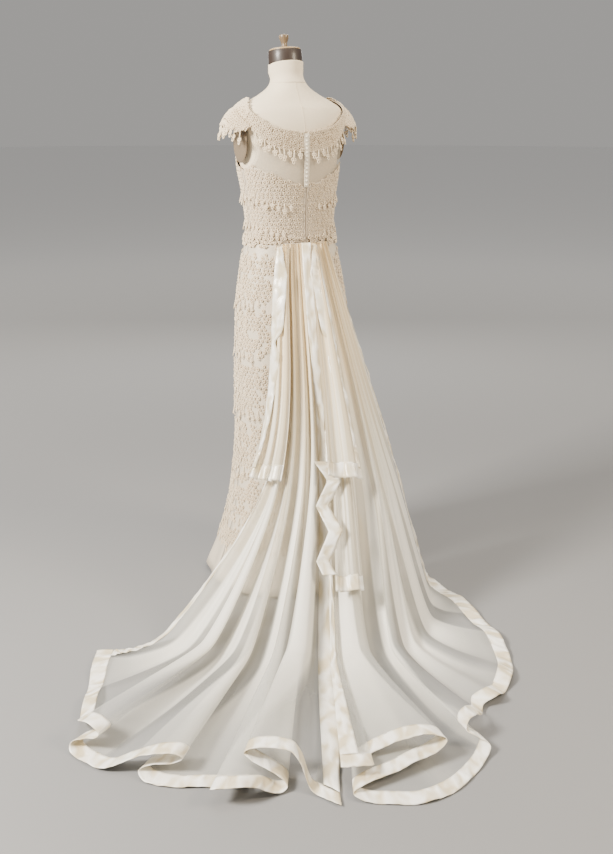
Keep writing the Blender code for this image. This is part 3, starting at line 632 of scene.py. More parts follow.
def leaf_shape():
    """Pointed leaf with a raised rib: 6 triangles."""
    bm = bmesh.new()
    bmesh.ops.create_circle(bm, cap_ends=True, cap_tris=True, segments=6, radius=1.0)
    for v in bm.verts:
        middle = v.co.xy.length < 1e-6
        v.co = Vector((v.co.x * 0.0050, v.co.y * 0.0019, 0.0017 if middle else 0.0001))
    mesh = bpy.data.meshes.new("leaf_shape")
    bm.to_mesh(mesh)
    bm.free()
    # The leaf's edge takes part of the lace's painted shade tone.
    mark_rise_for_painted_shade(mesh, -0.0006, 0.0016)
    return mesh


FLOWER_SHAPE = flower_shape()
LEAF_SHAPE = leaf_shape()


def joined_copies(name, sets, finish, nodes=()):
    """One mesh of many copies of small shapes. sets are pairs of (shape, list of matrices)."""
    points = []
    faces = []
    rises = []
    count = 0
    for shape, places in sets:
        if not places:
            continue
        # The rise of every copy goes with it, for the lace's painted shade.
        rises += [item.value for item in shape.attributes["rise"].data] * len(places)
        corners = np.array([v.co[:] for v in shape.vertices])
        turns = np.array([[row[:] for row in m] for m in places])
        moved = np.einsum("mij,nj->mni", turns[:, :3, :3], corners) + turns[:, None, :3, 3]
        points.append(moved.reshape(-1, 3))
        for k in range(len(places)):
            for face in shape.polygons:
                faces.append([count + k * len(corners) + i for i in face.vertices])
        count += len(places) * len(corners)
    mesh = bpy.data.meshes.new(name)
    mesh.from_pydata(np.concatenate(points), [], faces)
    mesh.update()
    layer = mesh.attributes.new("rise", "FLOAT", "POINT")
    layer.data.foreach_set("value", rises)
    return piece(name, mesh, finish, nodes)


def frame_on(surface, turn, up, out, spin=0.0, size=1.0):
    """Matrix of a small shape that lies on the surface, turned in its plane."""
    across = surface(turn + 0.8, up, out) - surface(turn - 0.8, up, out)
    along = surface(turn, up + 0.003, out) - surface(turn, up - 0.003, out)
    normal = along.cross(across).normalized()
    across = across.normalized()
    along = normal.cross(across)
    m = Matrix((across, along, normal)).transposed().to_4x4()
    m.translation = surface(turn, up, out)
    return m @ Matrix.Rotation(spin, 4, "Z") @ Matrix.Scale(size, 4)


def lace_cover(surface, first, last, low, high, out, inside, seed, pitch=LACE_PITCH, loose=0.0008):
    """Flowers and leaves over a stretch of surface, where inside(turn, up) says so."""
    draw = random.Random(seed)
    flowers = []
    leaves = []
    rows = max(1, round((high - low) / (pitch * 0.88)))
    for row in range(rows + 1):
        up = low + (high - low) * row / rows
        ring = [surface(first + (last - first) * k / 90, up, out) for k in range(91)]
        run = [0.0]
        for a, b in zip(ring, ring[1:]):
            run.append(run[-1] + (b - a).length)
        count = max(1, int(run[-1] / pitch))
        for k in range(count):
            share = (k + 0.25 + 0.5 * (row % 2) + draw.uniform(-0.14, 0.14)) / count * run[-1]
            turn = float(np.interp(share, run, np.linspace(first, last, 91)))
            here = up + draw.uniform(-0.0014, 0.0014)
            size = draw.uniform(0.78, 1.06)
            spin = draw.uniform(0, 2 * pi)
            if not inside(turn, here):
                continue
            flowers.append(frame_on(surface, turn, here, out + draw.uniform(0.0, loose), spin, size))
            lie = frame_on(surface, turn, here, out, draw.uniform(0.3, 6.2))
            leaves.append(lie @ Matrix.Translation((0.0066, 0, 0)) @ Matrix.Rotation(0.9, 4, "Z"))
    return [(FLOWER_SHAPE, flowers), (LEAF_SHAPE, leaves)]


# Lace drops.
# Real pieces: guipure pendants on a twisted stem, three small loops each, 20 to 40 mm long. They
# are worked in one with the lace, and hang free along its lower edges.


def thread_loop(bm, place, across, down, thick):
    """A closed loop of thread, flat in XZ."""
    made = bmesh.ops.create_circle(
        bm, segments=5, radius=thick, matrix=Matrix.Translation((1.0, 0, 0))
    )["verts"]
    for v in made:
        v.co.x = (v.co.x - 1.0) + across
    edges = list({edge for v in made for edge in v.link_edges})
    before = set(bm.verts) - set(made)
    bmesh.ops.spin(
        bm, geom=made + edges, cent=(0, 0, 0), axis=(0, 1, 0), angle=2 * pi, steps=10, use_merge=True
    )
    for v in bm.verts:
        if v not in before:
            v.co = Vector((v.co.x, v.co.y, v.co.z * down / across)) + Vector(place)


def drop_shape(length):
    """Pendant that hangs down from the origin, facing +Y."""
    bm = bmesh.new()
    thread_loop(bm, (0, 0, -length + 0.0056), 0.0036, 0.0050, 0.0014)
    thread_loop(bm, (-0.0042, 0, -length + 0.0125), 0.0026, 0.0032, 0.0013)
    thread_loop(bm, (0.0042, 0, -length + 0.0125), 0.0026, 0.0032, 0.0013)
    stem = bmesh.ops.create_cone(bm, cap_ends=True, segments=5, radius1=0.0019, radius2=0.0014, depth=1.0)["verts"]
    for v in stem:
        v.co.z = -(0.5 - v.co.z) * (length - 0.0085)
    knot = bmesh.ops.create_uvsphere(bm, u_segments=8, v_segments=6, radius=0.0022)["verts"]
    bmesh.ops.translate(bm, verts=knot, vec=(0, 0, -length + 0.0090))
    bmesh.ops.recalc_face_normals(bm, faces=bm.faces)
    mesh = bpy.data.meshes.new("drop_shape")
    bm.to_mesh(mesh)
    bm.free()
    # The drops take mostly the pale tone, a little less towards their tips, so they carry little painted shade.
    mark_rise_for_painted_shade(mesh, -0.2, 0.03)
    return mesh


DROP_LENGTHS = (0.038, 0.024, 0.031)
DROPS = [drop_shape(length) for length in DROP_LENGTHS]


def hanging(place, outwards, sway=0.0, size=1.0):
    """Matrix of a drop that hangs from a place, its face turned outwards."""
    outwards = Vector((outwards.x, outwards.y, 0)).normalized()
    across = outwards.cross(Vector((0, 0, 1)))
    m = Matrix((across, outwards, Vector((0, 0, 1)))).transposed().to_4x4()
    m.translation = place
    return m @ Matrix.Rotation(sway, 4, "Y") @ Matrix.Rotation(0.20, 4, "X") @ Matrix.Scale(size, 4)


def drop_row(surface, stations, out, seed, size=1.0):
    """Drops at stations of (turn, up) on a surface, each with its own length and sway."""
    draw = random.Random(seed)
    sets = [(shape, []) for shape in DROPS]
    for number, (turn, up) in enumerate(stations):
        here = surface(turn, up, out)
        facing = surface(turn, up, out + 0.01) - here
        tilt = draw.uniform(-0.16, 0.16)
        kind = (number * 2 + draw.randrange(2)) % 3
        sets[kind][1].append(hanging(here, facing, tilt, size * draw.uniform(0.86, 1.05)))
    return sets


# The six lace tiers of the skirt, and the drops along their lower edges.
# Real pieces: bands of guipure, 95 mm deep with a scalloped lower edge, sewn round the sheath one
# above the other with plain satin between them.

SKIRT_TIERS = [
    # up of the drops, depth of the lace above them, scallops half way round
    (0.885, 0.112, 9),
    (0.735, 0.104, 9),
    (0.560, 0.118, 9),
    (0.375, 0.128, 9),
    (0.225, 0.106, 10),
    (0.130, 0.062, 11),
]
LACE_ON_SKIRT = SKIRT_WALL * 0.5 + 0.0006


def eased_skirt(turn, up, out=0.0):
    return skirt(turn, up, out + ease_of_cloth(turn, up))


for number, (up, deep, scallops) in enumerate(SKIRT_TIERS, 1):

    def in_tier(turn, at, up=up, deep=deep, scallops=scallops):
        lobe = abs(sin(radians(turn) * scallops))
        ragged = 0.010 * noise.noise(Vector((turn * 0.12, number * 5.0, 1.0)))
        if not up + 0.004 - 0.016 * lobe < at < up + deep + 0.018 * lobe + ragged:
            return False
        sparse = noise.noise(Vector((turn * 0.10, at * 30.0, number * 3.0)))
        return sparse > -0.34

    for first, last, word in ((-90, 90, "back"), (90, 270, "front")):
        cover = lace_cover(
            eased_skirt, first, last, up - 0.010, up + deep + 0.026, LACE_ON_SKIRT, in_tier, number * 7 + first, loose=0.0022
        )
        joined_copies("tier_lace_%d_%s" % (number, word), cover, GUIPURE)
    for side, word in ((1, "left"), (-1, "right")):
        stations = []
        count = 11
        for k in range(count):
            turn = side * (54 + 84 * (k + 0.5) / count)
            lobe = abs(sin(radians(turn) * scallops))
            stations.append((turn, up + 0.002 - 0.014 * lobe))
        row = drop_row(eased_skirt, stations, LACE_ON_SKIRT + 0.0022, number * 11 + side, 0.82)
        joined_copies(
            "tier_drops_%d_%s" % (number, word), row, GUIPURE, ("skirt_drops_%d_%s" % (number, word),)
        )


# The bodice and its see-through yoke.
# Real pieces: front cut in one, backs left and right, of plain ground cloth covered in guipure,
# and above the backs a yoke of fine beige net. They stop at the neckline lace.

BODICE_WALL = 0.0018
SEAM_GAP = 0.0006
CENTRE_GAP = 0.25
BODICE_FOOT = SKIRT_TOP + SEAM_GAP
ARMHOLE_MIDDLE = 1.325
ARMHOLE_HALF_HEIGHT = 0.076
ARMHOLE_HALF_TURN = 33.0
NECK_BAND = 0.052
BAND_GAP = 0.0012
NECKLINE = [
    # turn, up
    (0, 1.352),
    (30, 1.368),
    (52, 1.400),
    (70, 1.436),
    (90, 1.468),
    (112, 1.440),
    (140, 1.392),
    (180, 1.366),
]
LACE_EDGE = [(0, 1.200), (30, 1.225), (60, 1.252), (90, 1.262)]


def armhole_edge(up):
    """How far short of the side, in degrees, the cloth stops at this height."""
    from_middle = (up - ARMHOLE_MIDDLE) / ARMHOLE_HALF_HEIGHT
    if abs(from_middle) >= 1:
        return 0.0
    return ARMHOLE_HALF_TURN * sqrt(1 - from_middle**2)


def fold_turn(turn):
    """The same turn on the wearer's left half."""
    return abs((turn + 180) % 360 - 180)


def neckline(turn):
    return curve(NECKLINE, fold_turn(turn))[0]


def under_band(turn):
    """Where the cloth stops below the lace of the neckline."""
    return neckline(turn) - NECK_BAND - BAND_GAP


def lace_edge(turn):
    return curve(LACE_EDGE, min(fold_turn(turn), 90))[0]


def bodice_panel(near, side, low, high, out):
    """Panel from the turn near to the side, between two edges that follow the turn, round the armhole."""

    def point(s, q):
        shift = ARMHOLE_HALF_TURN * q
        for step in range(18):
            edge = side - shift if side > near else side + shift
            turn = near + (edge - near) * s
            up = low(turn) + (high(turn) - low(turn)) * q
            shift += 0.5 * (armhole_edge(up) - shift)
        return body(turn, up, out)

    return point


# The bodice ground is darker than its plain cream cloth: partly the cloth's own tone, partly painted shade of the gaps
# between the heavy lace over it.
BODICE_GROUND_AND_SHADE = cloth_finish(
    "bodice_ground_with_painted_shade", (0.66, 0.56, 0.43), (0.58, 0.475, 0.35), 0.6, 900, 60, 0.25, sheen=0.2
)
YOKE_NET = cloth_finish(
    "yoke_net", (0.60, 0.53, 0.42), (0.52, 0.455, 0.355), 0.8, 420, 80, 0.35, alpha=0.46
)
bodice_parts = []
for side, word in ((1, "left"), (-1, "right")):
    far = side * (90 - SIDE_SEAM)
    back = piece(
        "bodice_back_ground_" + word,
        cloth_grid(
            int(60 * FINE),
            int(46 * FINE),
            bodice_panel(side * CENTRE_GAP, far, lambda t: BODICE_FOOT, lace_edge, 0.5 * BODICE_WALL),
            (0.21, 0.20),
            flip=side < 0,
        ),
        BODICE_GROUND_AND_SHADE,
        ("bodice_back_" + word,),
        0.0008,
    )
    yoke = piece(
        "back_yoke_net_" + word,
        cloth_grid(
            int(60 * FINE),
            int(50 * FINE),
            bodice_panel(
                side * CENTRE_GAP, far, lambda t: lace_edge(t) - 0.003, lambda t: under_band(t) + 0.004, 0.0010
            ),
            (0.20, 0.14),
            flip=side < 0,
        ),
        YOKE_NET,
        ("yoke_back_" + word,),
    )


def front_panel(s, q):
    """Bodice front: both halves in one piece, from side seam to side seam."""
    half = bodice_panel(180, 90 + SIDE_SEAM, lambda t: BODICE_FOOT, under_band, 0.5 * BODICE_WALL)
    p = half(abs(2 * s - 1), q)
    return Vector((p.x if s > 0.5 else -p.x, p.y, p.z))


front = piece(
    "bodice_front_ground",
    cloth_grid(int(120 * FINE), int(70 * FINE), front_panel, (0.46, 0.28), flip=True),
    BODICE_GROUND_AND_SHADE,
    ("bodice_front",),
    0.0008,
)

LACE_ON_BODICE = BODICE_WALL * 0.5 + 0.0006


def open_armhole(turn, up, margin=3.0):
    return fold_turn(turn) < 90 - armhole_edge(up) - margin or fold_turn(turn) > 90 + armhole_edge(up) + margin


def on_bodice(turn, up):
    """Lace covers the bodice but for two narrow slanting patches below its rows of drops."""
    top = lace_edge(turn) + 0.003 if fold_turn(turn) < 90 else under_band(turn) - 0.001
    if not BODICE_FOOT + 0.004 < up < top or not open_armhole(turn, up):
        return False
    slant = 0.030 * (1 - fold_turn(turn) / 90) if fold_turn(turn) < 90 else 0.0
    for drops_up in (1.176, 1.100):
        edge = drops_up - slant
        lobe = abs(sin(radians(turn) * 7))
        if edge - 0.020 + 0.004 * lobe < up < edge - 0.004 - 0.008 * lobe and fold_turn(turn) > 16:
            return False
    return True


for first, last, word in ((2, 90, "back_left"), (-90, -2, "back_right"), (90, 270, "front")):
    cover = lace_cover(body, first, last, BODICE_FOOT, 1.405 if word == "front" else 1.268, LACE_ON_BODICE, on_bodice, 31)
    joined_copies("bodice_lace_" + word, cover, GUIPURE)
for side, word in ((1, "left"), (-1, "right")):
    for name, up, first, last, count in (("bust_drops_", 1.176, 12, 152, 17), ("waist_drops_", 1.100, 22, 152, 15)):
        stations = []
        for k in range(count):
            turn = first + (last - first) * (k + 0.5) / count
            slant = 0.030 * (1 - turn / 90) if turn < 90 else 0.0
            stations.append((side * turn, up - slant + 0.002))
        row = drop_row(body, stations, LACE_ON_BODICE + 0.0022, count + side, 0.82)
        joined_copies(name + "lace_" + word, row, GUIPURE, (name + word,))


# The neckline lace.
# Real piece: a band of guipure 52 mm deep that goes round the shoulders, open at the centre back,
# with a scalloped top edge and drops along its lower one.

# The ground under the neckline and cap sleeve lace is a dark brown: partly the bars and net of the lace, partly painted
# shade between the flowers.
LACE_BARS_AND_SHADE = cloth_finish(
    "lace_bars_with_painted_shade", (0.50, 0.38, 0.26), (0.40, 0.29, 0.185), 0.9, 300, 220, 0.6, sheen=0.1
)


def neck_band(s, q):
    turn = CENTRE_GAP + (360 - 2 * CENTRE_GAP) * s
    return body(turn, neckline(turn) - NECK_BAND + 0.004 + (NECK_BAND - 0.013) * q, 0.0010)


band = piece(
    "neckline_band_ground",
    cloth_grid(int(200 * FINE), 8, neck_band, (0.95, 0.05), flip=True),
    LACE_BARS_AND_SHADE,
    ("neckline_band",),
    0.0006,
)
NECK_LACE_OUT = 0.0013


def neck_surface(turn, share, out=0.0):
    """Neckline band by turn and distance above its lower edge."""
    return body(turn, neckline(turn) - NECK_BAND + share, out)


def on_neck(turn, share):
    return True


cover = lace_cover(neck_surface, 1.2, 358.8, 0.0015, NECK_BAND - 0.0035, NECK_LACE_OUT, on_neck, 5, 0.0098)
joined_copies("neckline_lace", cover, GUIPURE)

edge_flowers = []
draw = random.Random(12)
for k in range(150):
    turn = 1.4 + 357.2 * k / 149
    for share in (NECK_BAND - 0.0010, -0.0010):
        edge_flowers.append(frame_on(neck_surface, turn, share, NECK_LACE_OUT, draw.uniform(0, 6), 0.62))
joined_copies("neckline_picots", [(FLOWER_SHAPE, edge_flowers)], GUIPURE)
turns = [CENTRE_GAP + (360 - 2 * CENTRE_GAP) * k / 240 for k in range(241)]
edge = [body(turn, neckline(turn) - 0.0030, -0.0006) for turn in turns]
stitched_line("neckline_cord", edge, 0.0019, GROUND_SATIN)

for first, last, count, name in (
    (3, 58, 10, "neck_drops_back_left"),
    (-3, -58, 10, "neck_drops_back_right"),
    (124, 236, 16, "neck_drops_front"),
):
    stations = [(first + (last - first) * (k + 0.5) / count, -0.001) for k in range(count)]
    row = drop_row(neck_surface, stations, NECK_LACE_OUT + 0.0018, count, 1.0)
    joined_copies(name.replace("drops", "lace_drops"), row, GUIPURE, (name,))


# The cap sleeves.
# Real pieces: two crescents of the same lace, sewn under the neckline band over the armhole, that
# stand out over the shoulder and carry drops along their edge.

LACE_WALL = 0.0022


def cap(side, out=0.0):
    def point(s, q):
        across = 2 * s - 1
        turn = side * (90 + 30 * across)
        root = body(turn, neckline(turn) - NECK_BAND + 0.0050, LACE_WALL + 0.0008 + out)
        reach = q * (0.12 + 0.88 * sqrt(max(1 - across**2, 0.0)))
        return root + Vector((side * 0.034 * reach, 0.0, -0.006 * reach - 0.030 * reach**2))

    return point


for side, word in ((1, "left"), (-1, "right")):
    surface = cap(side)
    sleeve = piece(
        "cap_sleeve_ground_" + word,
        cloth_grid(int(60 * FINE), 16, surface, (0.20, 0.04), flip=side < 0),
        LACE_BARS_AND_SHADE,
        ("cap_sleeve_" + word,),
        0.0006,
    )
    flowers = []
    leaves = []
    draw = random.Random(40)
    for row in range(6):
        for k in range(19):
            s = (k + 0.5 + 0.4 * (row % 2)) / 19.5
            q = (row + 0.3) / 5.4
            p = surface(s, q)
            across = (surface(min(s + 0.02, 1), q) - surface(max(s - 0.02, 0), q)).normalized()
            down = surface(s, min(q + 0.05, 1)) - surface(s, max(q - 0.05, 0))
            normal = across.cross(down).normalized()
            if normal.x * side < 0:
                normal = -normal
            m = Matrix((across, normal.cross(across), normal)).transposed().to_4x4()
            m.translation = p + normal * 0.0009
            flowers.append(m @ Matrix.Rotation(draw.uniform(0, 6), 4, "Z") @ Matrix.Scale(draw.uniform(0.8, 1.05), 4))
            leaves.append(m @ Matrix.Translation((0.005, 0.003, 0)) @ Matrix.Rotation(draw.uniform(0, 3), 4, "Z"))
    joined_copies("cap_lace_" + word, [(FLOWER_SHAPE, flowers), (LEAF_SHAPE, leaves)], GUIPURE)
    rim = []
    for k in range(34):
        s = (k + 0.5) / 34
        edge_of = surface(s, 1.0) + Vector((side * draw.uniform(-0.001, 0.003), 0, -draw.uniform(0.0, 0.007)))
        outward = Vector((side, 0.1 * cos(pi * s), 0.5)).normalized()
        m = outward.to_track_quat("Z", "Y").to_matrix().to_4x4()
        m.translation = edge_of
        rim.append(m @ Matrix.Rotation(draw.uniform(0, 6), 4, "Z") @ Matrix.Scale(draw.uniform(0.8, 1.15), 4))
    joined_copies("cap_lace_rim_" + word, [(FLOWER_SHAPE, rim)], GUIPURE)
    sets = [(shape, []) for shape in DROPS]
    for k in range(11):
        s = 0.08 + 0.84 * k / 10
        tilt = draw.uniform(-0.2, 0.2)
        place = surface(s, 1.0) + Vector((side * 0.0008, 0, -0.0010))
        sets[(k * 2 + k // 3) % 3][1].append(hanging(place, Vector((side, 0.15 * cos(pi * s), 0)), tilt, 1.12))
    joined_copies("cap_lace_drops_" + word, sets, GUIPURE, ("cap_drops_" + word,))


# The lace that runs over the waist seam.
# Real piece: the scalloped lower edge of the bodice lace, which is left loose over the seam and
# hides it on both sides of the train.


def over_waist(turn, up):
    lobe = abs(sin(radians(turn) * 8))
    ragged = 0.006 * noise.noise(Vector((turn * 0.2, 2.0, 3.0)))
    if fold_turn(turn) < 31:
        return up > 1.046
    return up > 1.040 - 0.012 * lobe + ragged


cover = lace_cover(body, 1.5, 358.5, 1.024, BODICE_FOOT + 0.012, 0.0052, over_waist, 77, loose=0.0015)
joined_copies("waist_lace_edge", cover, GUIPURE)


# The closing at the centre back.
# Real pieces: a narrow satin placket with 13 satin-covered buttons held by thread loops, and below
# it a concealed zip whose two cloth lips meet down to below the waist.

# A lit and a shaded tone of the satin: painted highlight and shade. The cloth finish mixes them by its slubs, and the
# base colour set below takes the place of that mix.
SATIN_LIT_TONE = (1.0, 0.965, 0.88)
SATIN_SHADED_TONE = (0.66, 0.575, 0.41)
SATIN = cloth_finish("bridal_satin_with_painted_sheen", SATIN_LIT_TONE, SATIN_SHADED_TONE, 0.24, 1500, 34, 0.12, coat=0.25)
nodes = SATIN.node_tree.nodes
links = SATIN.node_tree.links
cut = nodes.new("ShaderNodeTexCoord")
crumple_and_painted_sheen = nodes.new("ShaderNodeTexNoise")
crumple_and_painted_sheen.inputs["Scale"].default_value = 34.0
crumple_and_painted_sheen.inputs["Detail"].default_value = 0.6
crumple_and_painted_sheen.inputs["Distortion"].default_value = 0.5
lay = nodes.new("ShaderNodeMapping")
lay.inputs["Scale"].default_value = (1.0, 0.55, 1.0)
links.new(cut.outputs["UV"], lay.inputs["Vector"])
links.new(lay.outputs["Vector"], crumple_and_painted_sheen.inputs["Vector"])
crumpled = nodes.new("ShaderNodeBump")
crumpled.inputs["Strength"].default_value = 0.75
crumpled.inputs["Distance"].default_value = 0.0090
links.new(crumple_and_painted_sheen.outputs["Fac"], crumpled.inputs["Height"])
# Painted highlight and shade: the crumple noise also mixes the base colour from a shaded satin tone to a highlight
# tone.
shine = nodes.new("ShaderNodeMapRange")
shine.inputs["From Min"].default_value = 0.36
shine.inputs["From Max"].default_value = 0.62
links.new(crumple_and_painted_sheen.outputs["Fac"], shine.inputs["Value"])
links.new(
    mixer(nodes, links, shine.outputs["Result"], (0.68, 0.585, 0.40), (1.0, 0.97, 0.90)),
    nodes["Principled BSDF"].inputs["Base Color"],
)
links.new(crumpled.outputs["Normal"], nodes["Bump"].inputs["Normal"])
BUTTONS = 13


def placket(s, q):
    crown = 0.0004 * sin(pi * s)
    return body(-1.9 + 3.7 * s, 1.198 + (1.350 - 1.198) * q, LACE_WALL + 0.0016 + crown)


closing = piece(
    "placket_satin",
    cloth_grid(8, int(60 * FINE), placket, (0.007, 0.152), flip=True),
    GROUND_SATIN,
    ("button_placket",),
    0.0012,
    -1.0,
)
buttons = bmesh.new()
loops = bmesh.new()
for b in range(BUTTONS):
    up = 1.206 + (1.342 - 1.206) * b / (BUTTONS - 1)
    foot = body(0.0, up, LACE_WALL + 0.0016)
    ball = bmesh.ops.create_uvsphere(buttons, u_segments=20, v_segments=12, radius=0.0032)["verts"]
    for v in ball:
        v.co = Vector((v.co.x, v.co.z * 0.62 + 0.0014, v.co.y)) + foot
    ring = bmesh.ops.create_circle(loops, segments=6, radius=0.0005, matrix=Matrix.Translation((0.0042, 0, 0)))["verts"]
    edges = list({edge for v in ring for edge in v.link_edges})
    spun = bmesh.ops.spin(
        loops, geom=ring + edges, cent=(0, 0, 0), axis=(0, 1, 0), angle=-pi, steps=12, use_duplicate=False
    )
    every = {v for g in loops.faces for v in g.verts if abs(v.co.z) < 0.01}
    for v in every:
        v.co = Vector((v.co.x, v.co.y + 0.0006, v.co.z)) + foot
bmesh.ops.recalc_face_normals(buttons, faces=buttons.faces)
bmesh.ops.recalc_face_normals(loops, faces=loops.faces)
piece("covered_buttons", buttons, SATIN)
piece("button_loops", loops, SATIN)

ZIP_FOOT = 1.010
for side, word in ((1, "left"), (-1, "right")):

    def lip(s, q, side=side):
        up = ZIP_FOOT + (1.197 - ZIP_FOOT) * q
        return body(side * (0.10 + 1.25 * s), up, 0.0030 - 0.0012 * s)

    piece(
        "zip_lip_" + word,
        cloth_grid(4, int(60 * FINE), lip, (0.003, 0.19), flip=side > 0),
        BODICE_GROUND_AND_SHADE,
        wall=0.0005,
    )
# The zip seam is a dark line of painted shadow along the closed seam.
ZIP_SHADOW_LINE = cloth_finish("zip_shadow", (0.20, 0.145, 0.09), (0.13, 0.09, 0.055), 0.8, 800, 90, 0.3)
stitched_line(
    "zip_seam",
    [body(0, ZIP_FOOT + (1.197 - ZIP_FOOT) * k / 40, 0.0036) for k in range(41)],
    0.0010,
    ZIP_SHADOW_LINE,
)


# The long train panels.
# Real pieces: left and right panels of silk organza, gathered tight into the back waist, that fall
# clear of the sheath, land softly and sweep out over the floor in deep folds. A wide band of satin
# edges the hem and both upright sides.

BAND_WIDTH = 0.045
WAIST_HEIGHT = 1.041
TRAIN_TURN = radians(28)
KNEE_AT = 0.42
TOUCH_AT = 0.68
LEFT_HEM = [
    # bearing from the train's line, reach, lift
    (-43.4, 0.770, 0.002),
    (-39.0, 0.838, 0.006),
    (-34.5, 0.915, 0.002),
    (-31.5, 0.985, 0.016),
    (-29.6, 1.035, 0.010),
    (-28.0, 1.075, 0.030),
    (-26.6, 1.108, 0.056),
    (-24.6, 1.120, 0.062),
    (-23.2, 1.125, 0.050),
    (-23.6, 1.127, 0.037),
    (-25.2, 1.132, 0.029),
    (-26.6, 1.142, 0.017),
    (-26.2, 1.156, 0.004),
    (-24.0, 1.172, 0.001),
    (-21.0, 1.185, 0.006),
    (-18.5, 1.175, 0.030),
    (-15.5, 1.165, 0.052),
    (-13.2, 1.155, 0.054),
    (-12.2, 1.150, 0.041),
    (-13.0, 1.150, 0.028),
    (-15.5, 1.160, 0.022),
    (-16.9, 1.175, 0.012),
    (-15.8, 1.195, 0.002),
    (-12.5, 1.198, 0.001),
    (-9.0, 1.185, 0.001),
    (-6.0, 1.182, 0.003),
    (-4.7, 1.188, 0.012),
    (-5.5, 1.202, 0.019),
    (-7.0, 1.222, 0.026),
    (-8.1, 1.244, 0.036),
    (-7.2, 1.250, 0.047),
    (-5.2, 1.240, 0.043),
    (-3.4, 1.218, 0.028),
    (-2.0, 1.205, 0.008),
    (-1.1, 1.196, 0.003),
    (-0.5, 1.187, 0.011),
    (-0.9, 1.180, 0.023),
    (-2.2, 1.170, 0.036),
    (-3.5, 1.162, 0.049),
    (-4.6, 1.156, 0.059),
    (-5.3, 1.150, 0.069),
    (-4.4, 1.147, 0.079),
    (-2.2, 1.147, 0.082),
    (-0.2, 1.152, 0.076),
    (0.9, 1.166, 0.055),
    (1.4, 1.182, 0.031),
    (2.0, 1.196, 0.007),
    (3.3, 1.217, 0.002),
    (4.8, 1.246, 0.001),
]
RIGHT_HEM = [
    # bearing from the train's line, reach, lift
    (5.2, 1.172, 0.046),
    (7.0, 1.177, 0.049),
    (8.5, 1.175, 0.046),
    (8.9, 1.163, 0.039),
    (7.7, 1.147, 0.033),
    (6.9, 1.132, 0.026),
    (7.8, 1.118, 0.024),
    (10.0, 1.108, 0.038),
    (13.5, 1.108, 0.058),
    (16.5, 1.113, 0.060),
    (18.3, 1.122, 0.047),
    (17.2, 1.134, 0.032),
    (14.0, 1.154, 0.026),
    (10.5, 1.178, 0.021),
    (7.6, 1.200, 0.018),
    (6.2, 1.217, 0.010),
    (7.3, 1.238, 0.001),
    (9.5, 1.252, 0.001),
    (12.8, 1.266, 0.002),
    (16.5, 1.246, 0.001),
    (20.4, 1.195, 0.002),
    (22.4, 1.163, 0.004),
    (23.6, 1.140, 0.016),
    (22.7, 1.119, 0.029),
    (21.6, 1.098, 0.040),
    (22.3, 1.082, 0.052),
    (24.0, 1.065, 0.050),
    (25.8, 1.040, 0.028),
    (27.4, 1.008, 0.006),
    (29.0, 0.978, 0.008),
    (31.0, 0.984, 0.022),
    (34.5, 0.955, 0.003),
    (38.2, 0.921, 0.013),
    (42.1, 0.872, 0.002),
    (48.6, 0.772, 0.014),
    (53.0, 0.698, 0.003),
    (61.0, 0.590, 0.013),
    (67.9, 0.507, 0.003),
    (73.5, 0.471, 0.001),
]
LEFT_GUIDE = [
    # share, knee (right, out, height), touch-down (right, out)
    (-0.2, -0.105, 0.200, 0.380, -0.430, 0.430),
    (0.0, -0.070, 0.250, 0.380, -0.385, 0.523),
    (0.5, 0.000, 0.315, 0.400, -0.175, 0.670),
    (1.0, 0.088, 0.310, 0.420, 0.085, 0.700),
]
RIGHT_GUIDE = [
    # share, knee (right, out, height), touch-down (right, out)
    (-0.2, 0.040, 0.312, 0.425, 0.030, 0.705),
    (0.0, 0.097, 0.305, 0.420, 0.100, 0.695),
    (0.5, 0.245, 0.265, 0.400, 0.370, 0.540),
    (1.0, 0.310, 0.100, 0.400, 0.428, 0.116),
]
# Creases that run down a panel: share across at the top and at the foot, half width as a share,
# share down where each begins and ends, height in metres.
LEFT_CREASES = [
    (0.06, 0.03, 0.012, 0.10, 0.80, 0.010),
    (0.13, 0.09, 0.010, 0.22, 0.92, -0.008),
    (0.21, 0.17, 0.012, 0.05, 0.70, 0.009),
    (0.28, 0.27, 0.009, 0.30, 0.95, 0.007),
    (0.36, 0.34, 0.013, 0.12, 0.78, -0.010),
    (0.44, 0.40, 0.009, 0.04, 0.60, 0.008),
    (0.50, 0.50, 0.011, 0.26, 0.90, 0.008),
    (0.57, 0.58, 0.009, 0.08, 0.66, -0.007),
    (0.64, 0.67, 0.013, 0.18, 0.94, 0.010),
    (0.71, 0.73, 0.009, 0.05, 0.62, 0.007),
    (0.79, 0.80, 0.011, 0.24, 0.86, -0.009),
    (0.88, 0.90, 0.010, 0.10, 0.74, 0.008),
]
RIGHT_CREASES = [
    (0.07, 0.06, 0.012, 0.14, 0.84, 0.009),
    (0.15, 0.15, 0.010, 0.06, 0.66, -0.008),
    (0.24, 0.26, 0.012, 0.22, 0.92, 0.010),
    (0.33, 0.35, 0.009, 0.08, 0.72, 0.007),
    (0.41, 0.44, 0.012, 0.28, 0.88, -0.009),
    (0.50, 0.52, 0.010, 0.05, 0.64, 0.009),
    (0.59, 0.62, 0.012, 0.18, 0.90, 0.009),
    (0.68, 0.70, 0.009, 0.10, 0.70, -0.007),
    (0.77, 0.79, 0.011, 0.24, 0.92, 0.008),
    (0.87, 0.88, 0.010, 0.06, 0.76, 0.008),
]
GATHERS = 26
GATHER_DEPTH = 0.0022


def in_room(right, out, height):
    """From the train's own line (right, out) to the room."""
    x = -cos(TRAIN_TURN) * right + sin(TRAIN_TURN) * out
    y = sin(TRAIN_TURN) * right + cos(TRAIN_TURN) * out
    return Vector((x, y, height))


